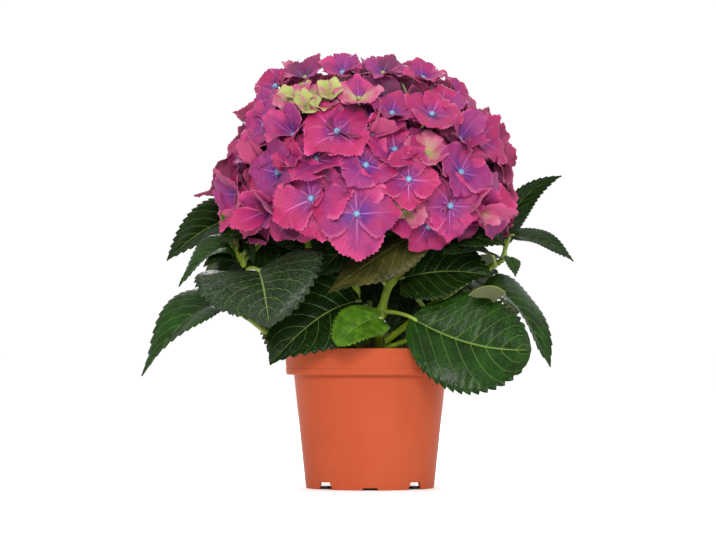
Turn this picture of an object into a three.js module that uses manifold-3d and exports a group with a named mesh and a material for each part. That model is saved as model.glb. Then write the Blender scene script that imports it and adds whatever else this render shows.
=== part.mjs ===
// A potted hydrangea: a mound of merged flower heads over broad leaves, in a round grower's pot.
// Millimetres, +Z up. The origin is on the pot's axis, in the plane that the pot's foot stands on.
// The front is -Y. A direction is given as [azimuth, elevation] in degrees: azimuth 0 looks out of
// the front, 90 is +X, and elevation is up from level.
import * as THREE from "three";
import { mergeVertices } from "three/addons/utils/BufferGeometryUtils.js";
import Module from "manifold-3d";

const wasm = await Module();
wasm.setup();

// ---- Driving sizes ----

const CLEAR = 0.3; // gap left where one piece meets another

const POT = {
  height: 114,
  rimRadius: 70,
  rimFootRadius: 68,
  rimHeight: 21.5,
  bodyTopRadius: 62.2,
  footRadius: 52.3,
  wall: 1.6,
  floorHeight: 6.5,
  lip: 1.2,
  sides: 48,
};
const FOOT_BOSS = { radius: 8, topRadius: 9 }; // the moulding boss under the floor, down to the ground
const FOOT_NOTCHES = [
  { height: 6, bottomWidth: 16, topWidth: 11, turns: [44, 136, 224, 316] },
  { height: 1.9, bottomWidth: 13.4, topWidth: 11.4, turns: [0, 90, 180, 270] },
];
const SOIL = { edgeHeight: 103, middleHeight: 109, sides: 40 };

const MOUND = { height: 232, acrossX: 119, acrossY: 112, up: 121, down: 52, squareness: 2.16 };
const CORE = { depth: 21, bottom: 207, columns: 20, rows: 12 };
const FLORET = { thickness: 1.1, notch: 0.74, inset: 11, cup: 16 };
const PEDICEL = { radius: 1.3, reach: 0.5, sides: 3 };
const FILL = {
  count: 64,
  lowestSine: -0.1,
  room: 31,
  size: 53,
  topSize: 45,
  turnStep: 137.508,
  outward: 0.25,
};
const YOUNG = { x: -48, z: 311, count: 6, spread: 9.5, size: 23, cup: 30 };

const LEAF = { thickness: 1.9, edge: 0.6, fold: 12, stations: [0, 0.07, 0.22, 0.44, 0.66, 0.86, 1] };
const PETIOLE = { radius: 1.7, tipRadius: 1.3, sides: 3, steps: 3, rise: 0.03 };
const LIMB = { sides: 7, steps: 6 };

// ---- Where everything grows ----

const TRUNK = {
  points: [[2, -8, 106], [2, -9, 116], [3, -10, 124]],
  radii: [12.5, 9],
  sides: 14,
  steps: 4,
};

// Boughs: from inside the trunk, which cuts them clear, to the tip where a shoot or a head takes over.
const BOUGHS = {
  bough_front: { points: [[0, -13, 114], [-9, -24, 138], [-12, -28, 160], [-12, -30, 190]], radii: [3.5, 3] },
  bough_right: { points: [[6, -14, 112], [7, -21, 124], [8, -28, 140]], radii: [3.6, 3.4] },
  bough_left: { points: [[-3, -8, 114], [-24, 0, 142], [-42, 4, 168], [-50, 6, 194]], radii: [3.5, 3] },
  bough_back: { points: [[4, -6, 114], [4, 16, 142], [4, 34, 168], [2, 44, 194]], radii: [3.5, 3] },
  bough_side_left: {
    points: [[-5, -10, 111], [-40, -14, 134], [-78, -18, 158], [-98, -20, 174]],
    radii: [3, 2.5],
  },
  bough_side_right: { points: [[7, -5, 115], [42, 6, 142], [78, 6, 168], [98, 4, 180]], radii: [3, 2.5] },
};

// Leafy shoots: the limb each one meets, its stem, and its leaves. A leaf has the place along the
// stem where it is rooted (0 to 1), the base and the tip of its blade, its breadth, the arch of its
// midrib and how far along that is highest, the way its face looks, its basal lobes' sweep, and the
// fold along the midrib where it isn't the usual one.
const SHOOTS = {
  leaves_middle: {
    meets: "bough_right",
    stem: [[8, -28, 140], [16, -34, 166], [26, -36, 177], [40, -34, 190]],
    radii: [3.4, 2.8],
    leaves: [
      {
        at: 0.06, base: [5, -38, 138], tip: [-25, -77, 116], breadth: 28,
        arch: 5, lead: 0.5, faces: [-20, 50], sweep: 0.1,
      },
      {
        at: 0.06, base: [32, -60, 138], tip: [124, -86, 110], breadth: 84,
        arch: -8, lead: 0.5, faces: [2, 20], sweep: -0.04, fold: 4,
      },
      {
        at: 0.5, base: [42, -56, 194], tip: [-13, -90, 150], breadth: 76,
        arch: 7, lead: 0.5, faces: [-34, 34], sweep: 0.1, fold: -22,
      },
    ],
  },
  leaves_front: {
    meets: "trunk",
    stem: [[-3, -12, 111], [-18, -24, 122], [-24, -30, 134]],
    radii: [2.2, 1.8],
    leaves: [
      {
        at: 1, base: [-18, -36, 148], tip: [-79, -66, 101], breadth: 74,
        arch: 10, lead: 0.45, faces: [-14, 40], sweep: 0.15,
      },
    ],
  },
  leaves_left_low: {
    meets: "trunk",
    stem: [[-5, -4, 111], [-44, -8, 121], [-86, -22, 128]],
    radii: [2.2, 1.8],
    leaves: [
      {
        at: 1, base: [-114, -40, 142], tip: [-178, -60, 92], breadth: 47,
        arch: 18, lead: 0.34, faces: [-40, 52], sweep: 0,
      },
      {
        at: 0.6, base: [-82, 18, 150], tip: [-116, 82, 142], breadth: 56,
        arch: 9, lead: 0.45, faces: [-110, 60], sweep: 0.1,
      },
    ],
  },
  leaves_left_high: {
    meets: "bough_side_left",
    stem: [[-98, -20, 174], [-104, -20, 184], [-112, -20, 198]],
    radii: [2.5, 1.8],
    leaves: [
      {
        at: 0.15, base: [-89, -72, 178], tip: [-77, -114, 130], breadth: 100,
        arch: 7, lead: 0.5, faces: [-14, 40], sweep: 0.24,
      },
      {
        at: 0.5, base: [-108, -20, 188], tip: [-154, -34, 165], breadth: 44,
        arch: 12, lead: 0.4, faces: [-50, 42], sweep: 0,
      },
    ],
  },
  leaves_right_low: {
    meets: "trunk",
    stem: [[7, -12, 112], [40, -16, 124], [66, -18, 138], [84, -18, 152]],
    radii: [2.2, 1.8],
    leaves: [
      {
        at: 1, base: [92, -20, 160], tip: [142, -34, 100], breadth: 52,
        arch: 18, lead: 0.46, faces: [60, 42], sweep: 0,
      },
      {
        at: 0.9, base: [106, -80, 166], tip: [77, -94, 154], breadth: 30,
        arch: 3, lead: 0.5, faces: [0, 10], sweep: 0,
      },
      {
        at: 0.6, base: [50, -26, 164], tip: [98, -46, 177], breadth: 50,
        arch: 5, lead: 0.5, faces: [0, 50], sweep: 0.1,
      },
      {
        at: 0.7, base: [86, 20, 160], tip: [124, 84, 140], breadth: 56,
        arch: 9, lead: 0.45, faces: [110, 60], sweep: 0.1,
      },
    ],
  },
  leaves_right_high: {
    meets: "bough_side_right",
    stem: [[98, 4, 180], [105, 3, 184], [112, 2, 189]],
    radii: [2.5, 1.8],
    leaves: [
      {
        at: 0.9, base: [113, 54, 200], tip: [160, 34, 257], breadth: 28,
        arch: 18, lead: 0.1, faces: [24, 10], sweep: 0,
      },
      {
        at: 0.7, base: [118, -6, 200], tip: [165, -16, 184], breadth: 17,
        arch: 5, lead: 0.5, faces: [20, 50], sweep: 0,
      },
      {
        at: 0.5, base: [112, -34, 188], tip: [117, -46, 172], breadth: 15,
        arch: 2, lead: 0.5, faces: [30, 20], sweep: 0,
      },
      {
        at: 0.3, base: [98, -34, 190], tip: [58, -80, 189], breadth: 40,
        arch: 4, lead: 0.5, faces: [10, 60], sweep: 0.1,
      },
    ],
  },
  leaves_back_left: {
    meets: "trunk",
    stem: [[-3, -3, 112], [-28, 34, 138], [-50, 62, 168], [-58, 72, 186]],
    radii: [2.6, 1.9],
    leaves: [
      {
        at: 1, base: [-100, 82, 226], tip: [-168, 26, 189], breadth: 52,
        arch: 11, lead: 0.5, faces: [-24, 4], sweep: 0.1,
      },
      {
        at: 1, base: [-88, 76, 188], tip: [-138, 98, 172], breadth: 74,
        arch: 9, lead: 0.45, faces: [-110, 52], sweep: 0.1,
      },
      {
        at: 0.9, base: [-58, 96, 190], tip: [-66, 142, 150], breadth: 80,
        arch: 9, lead: 0.45, faces: [190, 44], sweep: 0.15,
      },
      {
        at: 0.5, base: [-52, 66, 146], tip: [-84, 112, 108], breadth: 66,
        arch: 9, lead: 0.45, faces: [205, 40], sweep: 0.1,
      },
    ],
  },
  leaves_back: {
    meets: "trunk",
    stem: [[0, 0, 112], [8, 34, 132], [18, 56, 156]],
    radii: [2.6, 1.9],
    leaves: [
      {
        at: 1, base: [14, 84, 168], tip: [0, 142, 130], breadth: 78,
        arch: 9, lead: 0.45, faces: [176, 44], sweep: 0.15,
      },
      {
        at: 0.6, base: [2, 66, 138], tip: [-22, 96, 94], breadth: 56,
        arch: 6, lead: 0.45, faces: [186, 30], sweep: 0.1,
      },
    ],
  },
  leaves_back_right: {
    meets: "trunk",
    stem: [[8, -1, 112], [34, 34, 138], [60, 56, 168], [68, 66, 186]],
    radii: [2.6, 1.9],
    leaves: [
      {
        at: 1, base: [74, 72, 186], tip: [98, 118, 150], breadth: 62,
        arch: 9, lead: 0.45, faces: [110, 52], sweep: 0.1,
      },
      {
        at: 0.9, base: [66, 92, 188], tip: [78, 138, 148], breadth: 80,
        arch: 9, lead: 0.45, faces: [168, 44], sweep: 0.15,
      },
      {
        at: 0.5, base: [54, 64, 144], tip: [90, 104, 106], breadth: 64,
        arch: 9, lead: 0.45, faces: [150, 40], sweep: 0.1,
      },
    ],
  },
};

// Flower heads: the middle of each head's share of the mound, the limb below it, and its stalk.
const HEADS = {
  head_front: { middle: [-4, -62, 236], meets: "bough_front", stalk: [[-12, -30, 190], [-8, -36, 222]] },
  head_right: { middle: [60, 0, 262], meets: "leaves_middle", stalk: [[40, -34, 190], [52, -14, 226]] },
  head_left: { middle: [-60, 2, 268], meets: "bough_left", stalk: [[-50, 6, 194], [-54, 4, 226]] },
  head_back: { middle: [0, 62, 250], meets: "bough_back", stalk: [[2, 44, 194], [0, 50, 226]] },
};

// The florets that show best, on the front of the mound: x and z of the middle, size, the way the
// face looks, its turn, and how far the sepals lift out of the face's plane.
const FLORETS = [
  { x: -45, z: 237, size: 58, faces: [-14, 8], turn: -12, cup: 6 },
  { x: -10, z: 219, size: 68, faces: [-4, 4], turn: 0, cup: 4 },
  { x: 28, z: 247, size: 52, faces: [8, 32], turn: 4, cup: 8 },
  { x: 62, z: 228, size: 54, faces: [12, 6], turn: 2, cup: 6 },
  { x: -41, z: 262, size: 54, faces: [-18, 56], turn: 20, cup: 14 },
  { x: -29, z: 284, size: 60, faces: [-6, 50], turn: 44, cup: 16 },
  { x: -3, z: 256, size: 42, faces: [4, 30], turn: 30, cup: 14 },
  { x: -22, z: 243, size: 32, faces: [-6, 16], turn: 10, cup: 24 },
  { x: 20, z: 266, size: 46, faces: [8, 52], turn: 0, cup: 20 },
  { x: 45, z: 266, size: 38, faces: [20, 44], turn: 12, cup: 24 },
  { x: 68, z: 252, size: 42, faces: [30, 36], turn: 30, cup: 20 },
  { x: 26, z: 226, size: 34, faces: [6, 0], turn: 30, cup: 24 },
  { x: -74, z: 251, size: 46, faces: [-44, 14], turn: 8, cup: 16 },
  { x: -94, z: 228, size: 56, faces: [-62, 0], turn: 6, cup: 12 },
  { x: 94, z: 228, size: 56, faces: [62, 0], turn: -6, cup: 12 },
  { x: -11, z: 316, size: 46, faces: [-6, 52], turn: 0, cup: 24 },
  { x: -51, z: 326, size: 38, faces: [-26, 50], turn: 20, cup: 24 },
  { x: 18, z: 306, size: 46, faces: [10, 50], turn: 20, cup: 20 },
  { x: 50, z: 303, size: 52, faces: [26, 40], turn: 34, cup: 14 },
  { x: -20, z: 331, size: 42, faces: [-6, 48], turn: 10, cup: 22 },
  { x: 13, z: 335, size: 40, faces: [6, 52], turn: 30, cup: 22 },
  { x: 48, z: 326, size: 40, faces: [24, 46], turn: 0, cup: 20 },
];

// ---- Solids ----

const vector = (point) => new THREE.Vector3(...point);
const mix = THREE.MathUtils.lerp;
const radians = THREE.MathUtils.degToRad;

// A closed geometry as a solid with its faces pointing out.
function solidOf(geometry) {
  const bare = geometry.clone();
  bare.deleteAttribute("normal");
  bare.deleteAttribute("uv");
  const merged = mergeVertices(bare, 1e-4);
  const made = new wasm.Manifold(
    new wasm.Mesh({
      numProp: 3,
      vertProperties: merged.attributes.position.array,
      triVerts: new Uint32Array(merged.index.array),
    }),
  );
  if (made.volume() > 0) return made;
  const index = merged.index.array;
  for (let i = 0; i < index.length; i += 3) [index[i + 1], index[i + 2]] = [index[i + 2], index[i + 1]];
  return solidOf(merged);
}

function geometryOf(solid) {
  const mesh = solid.getMesh();
  const geometry = new THREE.BufferGeometry();
  geometry.setAttribute("position", new THREE.Float32BufferAttribute(mesh.vertProperties, 3));
  geometry.setIndex(new THREE.Uint32BufferAttribute(mesh.triVerts, 1));
  return geometry;
}

const joined = (solids) => solids.reduce((whole, solid) => whole.add(solid));

// The largest body of a solid, with any sealed hollow in it filled.
function wholeBody(solid) {
  return solid.decompose().reduce((best, body) => (body.volume() > best.volume() ? body : best));
}

// A closed skin over rings of points, all with the same count, the first and the last ring closed flat.
function skin(rings) {
  const count = rings[0].length;
  const points = rings.flat();
  const faces = [];
  for (let ring = 0; ring + 1 < rings.length; ring++)
    for (let i = 0; i < count; i++) {
      const a = ring * count + i;
      const b = ring * count + ((i + 1) % count);
      faces.push(a, b, b + count, a, b + count, a + count);
    }
  const last = (rings.length - 1) * count;
  for (let i = 1; i + 1 < count; i++) faces.push(0, i + 1, i, last, last + i, last + i + 1);
  const geometry = new THREE.BufferGeometry().setFromPoints(points);
  geometry.setIndex(faces);
  return solidOf(geometry);
}

// A limb that tapers along a smooth path. grown makes it fatter and longer, to cut room for it.
function limb(points, [from, to], { sides = LIMB.sides, steps = LIMB.steps, grown = 0 } = {}) {
  const path = new THREE.CatmullRomCurve3(points.map(vector));
  const side = new THREE.Vector3(1, 0.2, 0);
  const rings = [];
  for (let step = 0; step <= steps; step++) {
    const along = step / steps;
    const ahead = path.getTangentAt(along);
    side.addScaledVector(ahead, -side.dot(ahead)).normalize();
    const across = new THREE.Vector3().crossVectors(ahead, side);
    const end = step === 0 ? -grown : step === steps ? grown : 0;
    const middle = path.getPointAt(along).addScaledVector(ahead, end);
    const radius = mix(from, to, along) + grown;
    const ring = [];
    for (let i = 0; i < sides; i++) {
      const turn = (2 * Math.PI * i) / sides;
      ring.push(
        middle
          .clone()
          .addScaledVector(side, radius * Math.cos(turn))
          .addScaledVector(across, radius * Math.sin(turn)),
      );
    }
    rings.push(ring);
  }
  return skin(rings);
}

const look = ([azimuth, elevation]) => {
  const [a, e] = [radians(azimuth), radians(elevation)];
  return new THREE.Vector3(Math.sin(a) * Math.cos(e), -Math.cos(a) * Math.cos(e), Math.sin(e));
};

// ---- Leaves ----

// Half the breadth of an ovate blade along its length, as a share of the widest.
const ovate = (along) => 2.36 * along ** 0.48 * (1 - along) ** 0.82;

function midrib({ base, tip, arch, lead }) {
  const [start, end] = [vector(base), vector(tip)];
  const control = start.clone().lerp(end, lead);
  control.z += 2 * arch;
  return new THREE.QuadraticBezierCurve3(start, control, end);
}

// A blade: folded along its midrib, thick in the middle, its two edges sharp.
function blade(leaf) {
  const rib = midrib(leaf);
  const length = rib.getLength();
  const face = look(leaf.faces);
  const fold = radians(leaf.fold ?? LEAF.fold);
  const rings = LEAF.stations.map((along) => {
    const ahead = rib.getTangent(along);
    const side = new THREE.Vector3().crossVectors(ahead, face).normalize();
    const up = new THREE.Vector3().crossVectors(side, ahead);
    const middle = rib.getPoint(along);
    const half = Math.max(LEAF.edge, (leaf.breadth / 2) * ovate(along));
    const back = -leaf.sweep * length * (1 - along) ** 3 * Math.min(1, along * 10);
    const edge = (sign) =>
      middle
        .clone()
        .addScaledVector(side, sign * half * Math.cos(fold))
        .addScaledVector(up, half * Math.sin(fold))
        .addScaledVector(ahead, back);
    const thick = LEAF.thickness / 2;
    const face1 = middle.clone().addScaledVector(up, thick);
    const face2 = middle.clone().addScaledVector(up, -thick);
    return [edge(-1), face1, edge(1), face2];
  });
  return skin(rings);
}

// A leaf's stalk, from inside its shoot to well inside the blade's base.
function petiole(leaf, root) {
  const rib = midrib(leaf);
  const base = rib.getPoint(0.06);
  const bend = root.clone().lerp(vector(leaf.base), 0.5);
  bend.z += PETIOLE.rise * root.distanceTo(base);
  const points = [root, bend, vector(leaf.base), base].map((p) => p.toArray());
  return limb(points, [PETIOLE.radius, PETIOLE.tipRadius], PETIOLE);
}

function leafyShoot({ stem, radii, leaves }) {
  const path = new THREE.CatmullRomCurve3(stem.map(vector));
  const pieces = [limb(stem, radii)];
  for (const leaf of leaves) pieces.push(petiole(leaf, path.getPointAt(leaf.at)), blade(leaf));
  return joined(pieces);
}

// ---- Flowers ----

// How far the mound reaches from its middle in a direction.
function reach(direction) {
  const level = Math.hypot(direction.x / MOUND.acrossX, direction.y / MOUND.acrossY);
  const rise = Math.abs(direction.z) / (direction.z > 0 ? MOUND.up : MOUND.down);
  return (level ** MOUND.squareness + rise ** MOUND.squareness) ** (-1 / MOUND.squareness);
}

const moundMiddle = new THREE.Vector3(0, 0, MOUND.height);

// The point of the mound's front over a given x and z, drawn in by the florets' inset.
function onFront(x, z) {
  const rise = Math.min(1, Math.abs(z - MOUND.height) / (z > MOUND.height ? MOUND.up : MOUND.down));
  const round = (1 - rise ** MOUND.squareness) ** (1 / MOUND.squareness);
  const across = Math.sqrt(Math.max(0.05, round ** 2 - (x / MOUND.acrossX) ** 2));
  return new THREE.Vector3(x, FLORET.inset - MOUND.acrossY * across, z);
}

// The florets of the rule: a spiral over the whole mound, left out where a placed floret shows.
function fillFlorets(taken) {
  const florets = [];
  for (let i = 0; i < FILL.count; i++) {
    const sine = mix(1, FILL.lowestSine, (i + 0.5) / FILL.count);
    const direction = look([i * FILL.turnStep, THREE.MathUtils.radToDeg(Math.asin(sine))]);
    const middle = direction.clone().multiplyScalar(reach(direction) - FLORET.inset).add(moundMiddle);
    if (taken.some((other) => other.distanceTo(middle) < FILL.room)) continue;
    const level = new THREE.Vector3(direction.x, direction.y, 0);
    const faces = direction.clone().addScaledVector(level.normalize(), FILL.outward).normalize();
    const size = mix(FILL.size, FILL.topSize, Math.max(0, sine));
    florets.push({ middle, faces, size, turn: i * 37, cup: FLORET.cup });
  }
  return florets;
}

function youngFlorets() {
  const florets = [];
  for (let i = 0; i < YOUNG.count; i++) {
    const spread = YOUNG.spread * Math.sqrt(i);
    const turn = radians(i * FILL.turnStep);
    const middle = onFront(YOUNG.x + spread * Math.cos(turn), YOUNG.z + 0.6 * spread * Math.sin(turn));
    florets.push({ middle, faces: look([-25, 50]), size: YOUNG.size, turn: i * 37, cup: YOUNG.cup });
  }
  return florets;
}

// Four broad sepals as one shallow cup, on a stalk that runs down into the head's core.
function floret({ middle, faces, size, turn, cup }, hub) {
  const level = new THREE.Vector3(-faces.y, faces.x, 0).normalize();
  const upward = new THREE.Vector3().crossVectors(faces, level);
  const lift = Math.tan(radians(cup));
  const rim = [];
  for (let sepal = 0; sepal < 4; sepal++)
    for (const [offset, share] of [[-45, FLORET.notch], [0, 1]]) {
      const angle = radians(turn + sepal * 90 + offset);
      const radius = (share * size) / 2;
      rim.push(
        middle
          .clone()
          .addScaledVector(level, radius * Math.sin(angle))
          .addScaledVector(upward, radius * Math.cos(angle))
          .addScaledVector(faces, radius * lift),
      );
    }
  const under = (point) => point.clone().addScaledVector(faces, -FLORET.thickness);
  const points = [...rim, ...rim.map(under), middle.clone(), under(middle)];
  const count = rim.length;
  const faceList = [];
  for (let i = 0; i < count; i++) {
    const next = (i + 1) % count;
    faceList.push(i, next, 2 * count, next + count, i + count, 2 * count + 1);
    faceList.push(i, i + count, next + count, i, next + count, next);
  }
  const geometry = new THREE.BufferGeometry().setFromPoints(points);
  geometry.setIndex(faceList);
  const root = middle.clone().lerp(hub, PEDICEL.reach);
  const top = middle.clone().addScaledVector(faces, -FLORET.thickness / 2);
  const radii = [PEDICEL.radius, PEDICEL.radius];
  const stalk = limb([top.toArray(), root.toArray()], radii, { sides: PEDICEL.sides, steps: 1 });
  return solidOf(geometry).add(stalk);
}

// The dense middle of the mound, which the florets stand out of.
function moundCore() {
  const geometry = new THREE.SphereGeometry(1, CORE.columns, CORE.rows).rotateX(Math.PI / 2);
  const place = geometry.attributes.position;
  for (let i = 0; i < place.count; i++) {
    const direction = new THREE.Vector3().fromBufferAttribute(place, i).normalize();
    const point = direction.clone().multiplyScalar(reach(direction) - CORE.depth).add(moundMiddle);
    place.setXYZ(i, point.x, point.y, Math.max(CORE.bottom, point.z));
  }
  return solidOf(geometry);
}

// A solid cut back to one head's share of the mound, half the clearance short of each seam.
function share(solid, head) {
  const own = vector(head.middle);
  for (const other of Object.values(HEADS)) {
    if (other === head) continue;
    const toOther = vector(other.middle).sub(own);
    const seam = toOther.length() / 2 - CLEAR / 2 - 0.05;
    const inward = toOther.normalize().negate();
    solid = solid.trimByPlane(inward.toArray(), inward.dot(own) - seam);
  }
  return solid;
}

const nearestHead = (point) =>
  Object.values(HEADS).reduce((best, head) =>
    vector(head.middle).distanceTo(point) < vector(best.middle).distanceTo(point) ? head : best,
  );

// ---- Pot and soil ----

// The radius of the pot's tapering body, outside, at a height.
const bodyRadius = (height) => mix(POT.footRadius, POT.bodyTopRadius, height / (POT.height - POT.rimHeight));

function potSolid() {
  const { height, rimRadius, rimFootRadius, rimHeight, wall, lip, floorHeight, sides } = POT;
  const shoulder = height - rimHeight;
  const floor = floorHeight + wall;
  const profile = [
    [0, floor],
    [bodyRadius(floor) - wall, floor],
    [bodyRadius(shoulder) - wall, shoulder - wall],
    [rimFootRadius - wall, shoulder + wall],
    [rimRadius - wall, height - lip],
    [rimRadius - wall + 0.3, height],
    [rimRadius - 0.4, height],
    [rimRadius, height - lip],
    [rimFootRadius, shoulder],
    [bodyRadius(shoulder), shoulder],
    [bodyRadius(0), 0],
    [bodyRadius(0) - wall, 0],
    [bodyRadius(floorHeight) - wall, floorHeight],
    [FOOT_BOSS.topRadius, floorHeight],
    [FOOT_BOSS.radius, 0],
    [0, 0],
  ].map(([x, y]) => new THREE.Vector2(x, y));
  let pot = solidOf(new THREE.LatheGeometry(profile, sides).rotateX(Math.PI / 2));
  for (const { height: top, bottomWidth, topWidth, turns } of FOOT_NOTCHES) {
    const notch = new THREE.Shape([
      new THREE.Vector2(-bottomWidth / 2, -1),
      new THREE.Vector2(bottomWidth / 2, -1),
      new THREE.Vector2(topWidth / 2, top),
      new THREE.Vector2(-topWidth / 2, top),
    ]);
    for (const turn of turns) {
      const cutter = new THREE.ExtrudeGeometry(notch, { depth: 20, bevelEnabled: false });
      cutter.rotateX(Math.PI / 2).translate(0, -(POT.footRadius - 12), 0).rotateZ(radians(turn));
      pot = pot.subtract(solidOf(cutter));
    }
  }
  return wholeBody(pot);
}

function soilSolid() {
  const { height, rimHeight, rimFootRadius, wall, floorHeight } = POT;
  const shoulder = height - rimHeight;
  const floor = floorHeight + wall + CLEAR;
  const gap = wall + CLEAR;
  const profile = [
    [0, floor],
    [bodyRadius(floor) - gap, floor],
    [bodyRadius(shoulder) - gap, shoulder - wall],
    [rimFootRadius - gap - 0.5, shoulder + wall + 1],
    [rimFootRadius - gap, SOIL.edgeHeight],
    [32, SOIL.middleHeight],
    [0, SOIL.middleHeight],
  ].map(([x, y]) => new THREE.Vector2(x, y));
  return solidOf(new THREE.LatheGeometry(profile, SOIL.sides).rotateX(Math.PI / 2));
}

// ---- The scene graph ----

const FINISH = {
  pot: { color: "#c8623c", roughness: 0.45, metalness: 0 },
  soil: { color: "#33231b", roughness: 1, metalness: 0 },
  wood: { color: "#6f6a3a", roughness: 0.8, metalness: 0 },
  stem: { color: "#7f9a35", roughness: 0.55, metalness: 0 },
  leaf: { color: "#2a5a24", roughness: 0.45, metalness: 0 },
  floret: { color: "#c92f78", roughness: 0.6, metalness: 0 },
};

const plant = new THREE.Group();

function place(name, solid, finish) {
  const mesh = new THREE.Mesh(geometryOf(solid), new THREE.MeshStandardMaterial(FINISH[finish]));
  mesh.name = name;
  plant.add(mesh);
}

place("pot", potSolid(), "pot");
place("soil", soilSolid(), "soil");
const cutLevel = SOIL.middleHeight + CLEAR;
const trunk = limb(TRUNK.points, TRUNK.radii, TRUNK);
place("trunk", trunk.trimByPlane([0, 0, 1], cutLevel), "wood");

// What each meeting piece is cut clear of: the limb below it, grown by the clearance.
const room = { trunk: limb(TRUNK.points, TRUNK.radii, { ...TRUNK, grown: CLEAR }) };

for (const [name, { points, radii }] of Object.entries(BOUGHS)) {
  place(name, wholeBody(limb(points, radii).subtract(room.trunk)), "stem");
  room[name] = limb(points, radii, { grown: CLEAR });
}

for (const [name, shoot] of Object.entries(SHOOTS)) {
  place(name, wholeBody(leafyShoot(shoot).subtract(room[shoot.meets])), "leaf");
  room[name] = limb(shoot.stem, shoot.radii, { grown: CLEAR });
}

const florets = FLORETS.map((f) => ({ ...f, middle: onFront(f.x, f.z), faces: look(f.faces) }));
florets.push(...youngFlorets());
florets.push(...fillFlorets(florets.map((f) => f.middle)));
const core = moundCore();

for (const [name, head] of Object.entries(HEADS)) {
  const stalk = limb(head.stalk, [3, 4.5]);
  const own = florets.filter((f) => nearestHead(f.middle) === head);
  const flowers = own.map((f) => floret(f, vector(head.middle)));
  const whole = share(joined([core, ...flowers]), head).add(stalk);
  place(name, wholeBody(whole.subtract(room[head.meets])), "floret");
}

export default plant;
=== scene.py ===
"""A potted hydrangea in bloom: grower's pot, compost, stems, toothed leaves and a dome of pink florets."""

import math

import bmesh
import bpy
import numpy as np
from bpy.props import FloatProperty, FloatVectorProperty, IntProperty, PointerProperty
from bpy.types import Operator, Panel, PropertyGroup
from mathutils import Matrix, Vector


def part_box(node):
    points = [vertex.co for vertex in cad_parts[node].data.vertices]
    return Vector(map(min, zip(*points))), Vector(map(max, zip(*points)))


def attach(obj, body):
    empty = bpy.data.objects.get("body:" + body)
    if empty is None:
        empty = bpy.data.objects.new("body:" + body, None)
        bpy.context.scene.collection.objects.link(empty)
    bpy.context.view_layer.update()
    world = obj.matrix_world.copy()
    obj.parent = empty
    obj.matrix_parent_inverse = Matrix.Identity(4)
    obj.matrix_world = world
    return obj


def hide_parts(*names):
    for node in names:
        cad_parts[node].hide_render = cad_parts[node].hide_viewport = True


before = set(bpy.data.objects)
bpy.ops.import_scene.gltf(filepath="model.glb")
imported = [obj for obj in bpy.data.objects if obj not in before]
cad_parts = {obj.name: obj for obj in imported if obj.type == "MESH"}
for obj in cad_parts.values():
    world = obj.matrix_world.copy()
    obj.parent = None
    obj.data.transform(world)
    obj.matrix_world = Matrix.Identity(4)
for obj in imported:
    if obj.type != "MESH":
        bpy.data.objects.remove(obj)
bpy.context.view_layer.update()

bl_info = {
    "name": "Potted Hydrangea",
    "version": (1, 0, 0),
    "blender": (4, 5, 0),
    "location": "View3D > Sidebar > Hydrangea",
    "description": "Builds a potted hydrangea around its packed frame",
    "category": "Object",
}

MM = 0.001
BAKE_UV = "OFBake"
SEEDS = {"compost": 3, "stems": 7, "leaves": 19, "filling": 11, "inner": 5}

# ---- Where everything grows, in millimetres: the front is -Y, the origin is under the pot's axis ----

TRUNK = {"points": [(2, -8, 106), (2, -9, 116), (3, -10, 124)], "radii": (12.5, 9)}

BOUGHS = {
    "bough_front": {"points": [(0, -13, 114), (-9, -24, 138), (-12, -28, 160), (-12, -30, 190)],
                    "radii": (3.5, 3), "joints": (0.62, 1.0)},
    "bough_right": {"points": [(6, -14, 112), (7, -21, 124), (8, -28, 140)],
                    "radii": (3.6, 3.4), "joints": (0.5, 0.98)},
    "bough_left": {"points": [(-3, -8, 114), (-24, 0, 142), (-42, 4, 168), (-50, 6, 194)],
                   "radii": (3.5, 3), "joints": (0.5, 0.98)},
    "bough_back": {"points": [(4, -6, 114), (4, 16, 142), (4, 34, 168), (2, 44, 194)],
                   "radii": (3.5, 3), "joints": (0.5, 0.98)},
    "bough_side_left": {"points": [(-5, -10, 111), (-40, -14, 134), (-78, -18, 158), (-98, -20, 174)],
                        "radii": (3, 2.5), "joints": (0.5, 0.98)},
    "bough_side_right": {"points": [(7, -5, 115), (42, 6, 142), (78, 6, 168), (98, 4, 180)],
                         "radii": (3, 2.5), "joints": (0.5, 0.98)},
}

# DEEP is a darker green, partly the leaves' own colour and partly painted shade for leaves under the bloom.
DEEP, MID, FRESH, BRONZE, SILVER = range(5)


def new_leaf(at, base, tip, breadth, arch, lead, faces, sweep, tone, fold=12, taper=0.93):
    """A leaf whose stalk leaves the shoot's stem at a share of its length. base and tip end its blade.

    arch lifts the midrib, lead is how far along it is highest, faces is the azimuth and elevation that
    the upper side looks to, sweep draws the base's lobes back, fold, in degrees, lifts the two halves,
    and a low taper makes the tip blunt.
    """
    return dict(at=at, base=base, tip=tip, breadth=breadth, arch=arch, lead=lead, faces=faces, sweep=sweep,
                tone=tone, fold=fold, taper=taper)


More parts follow.
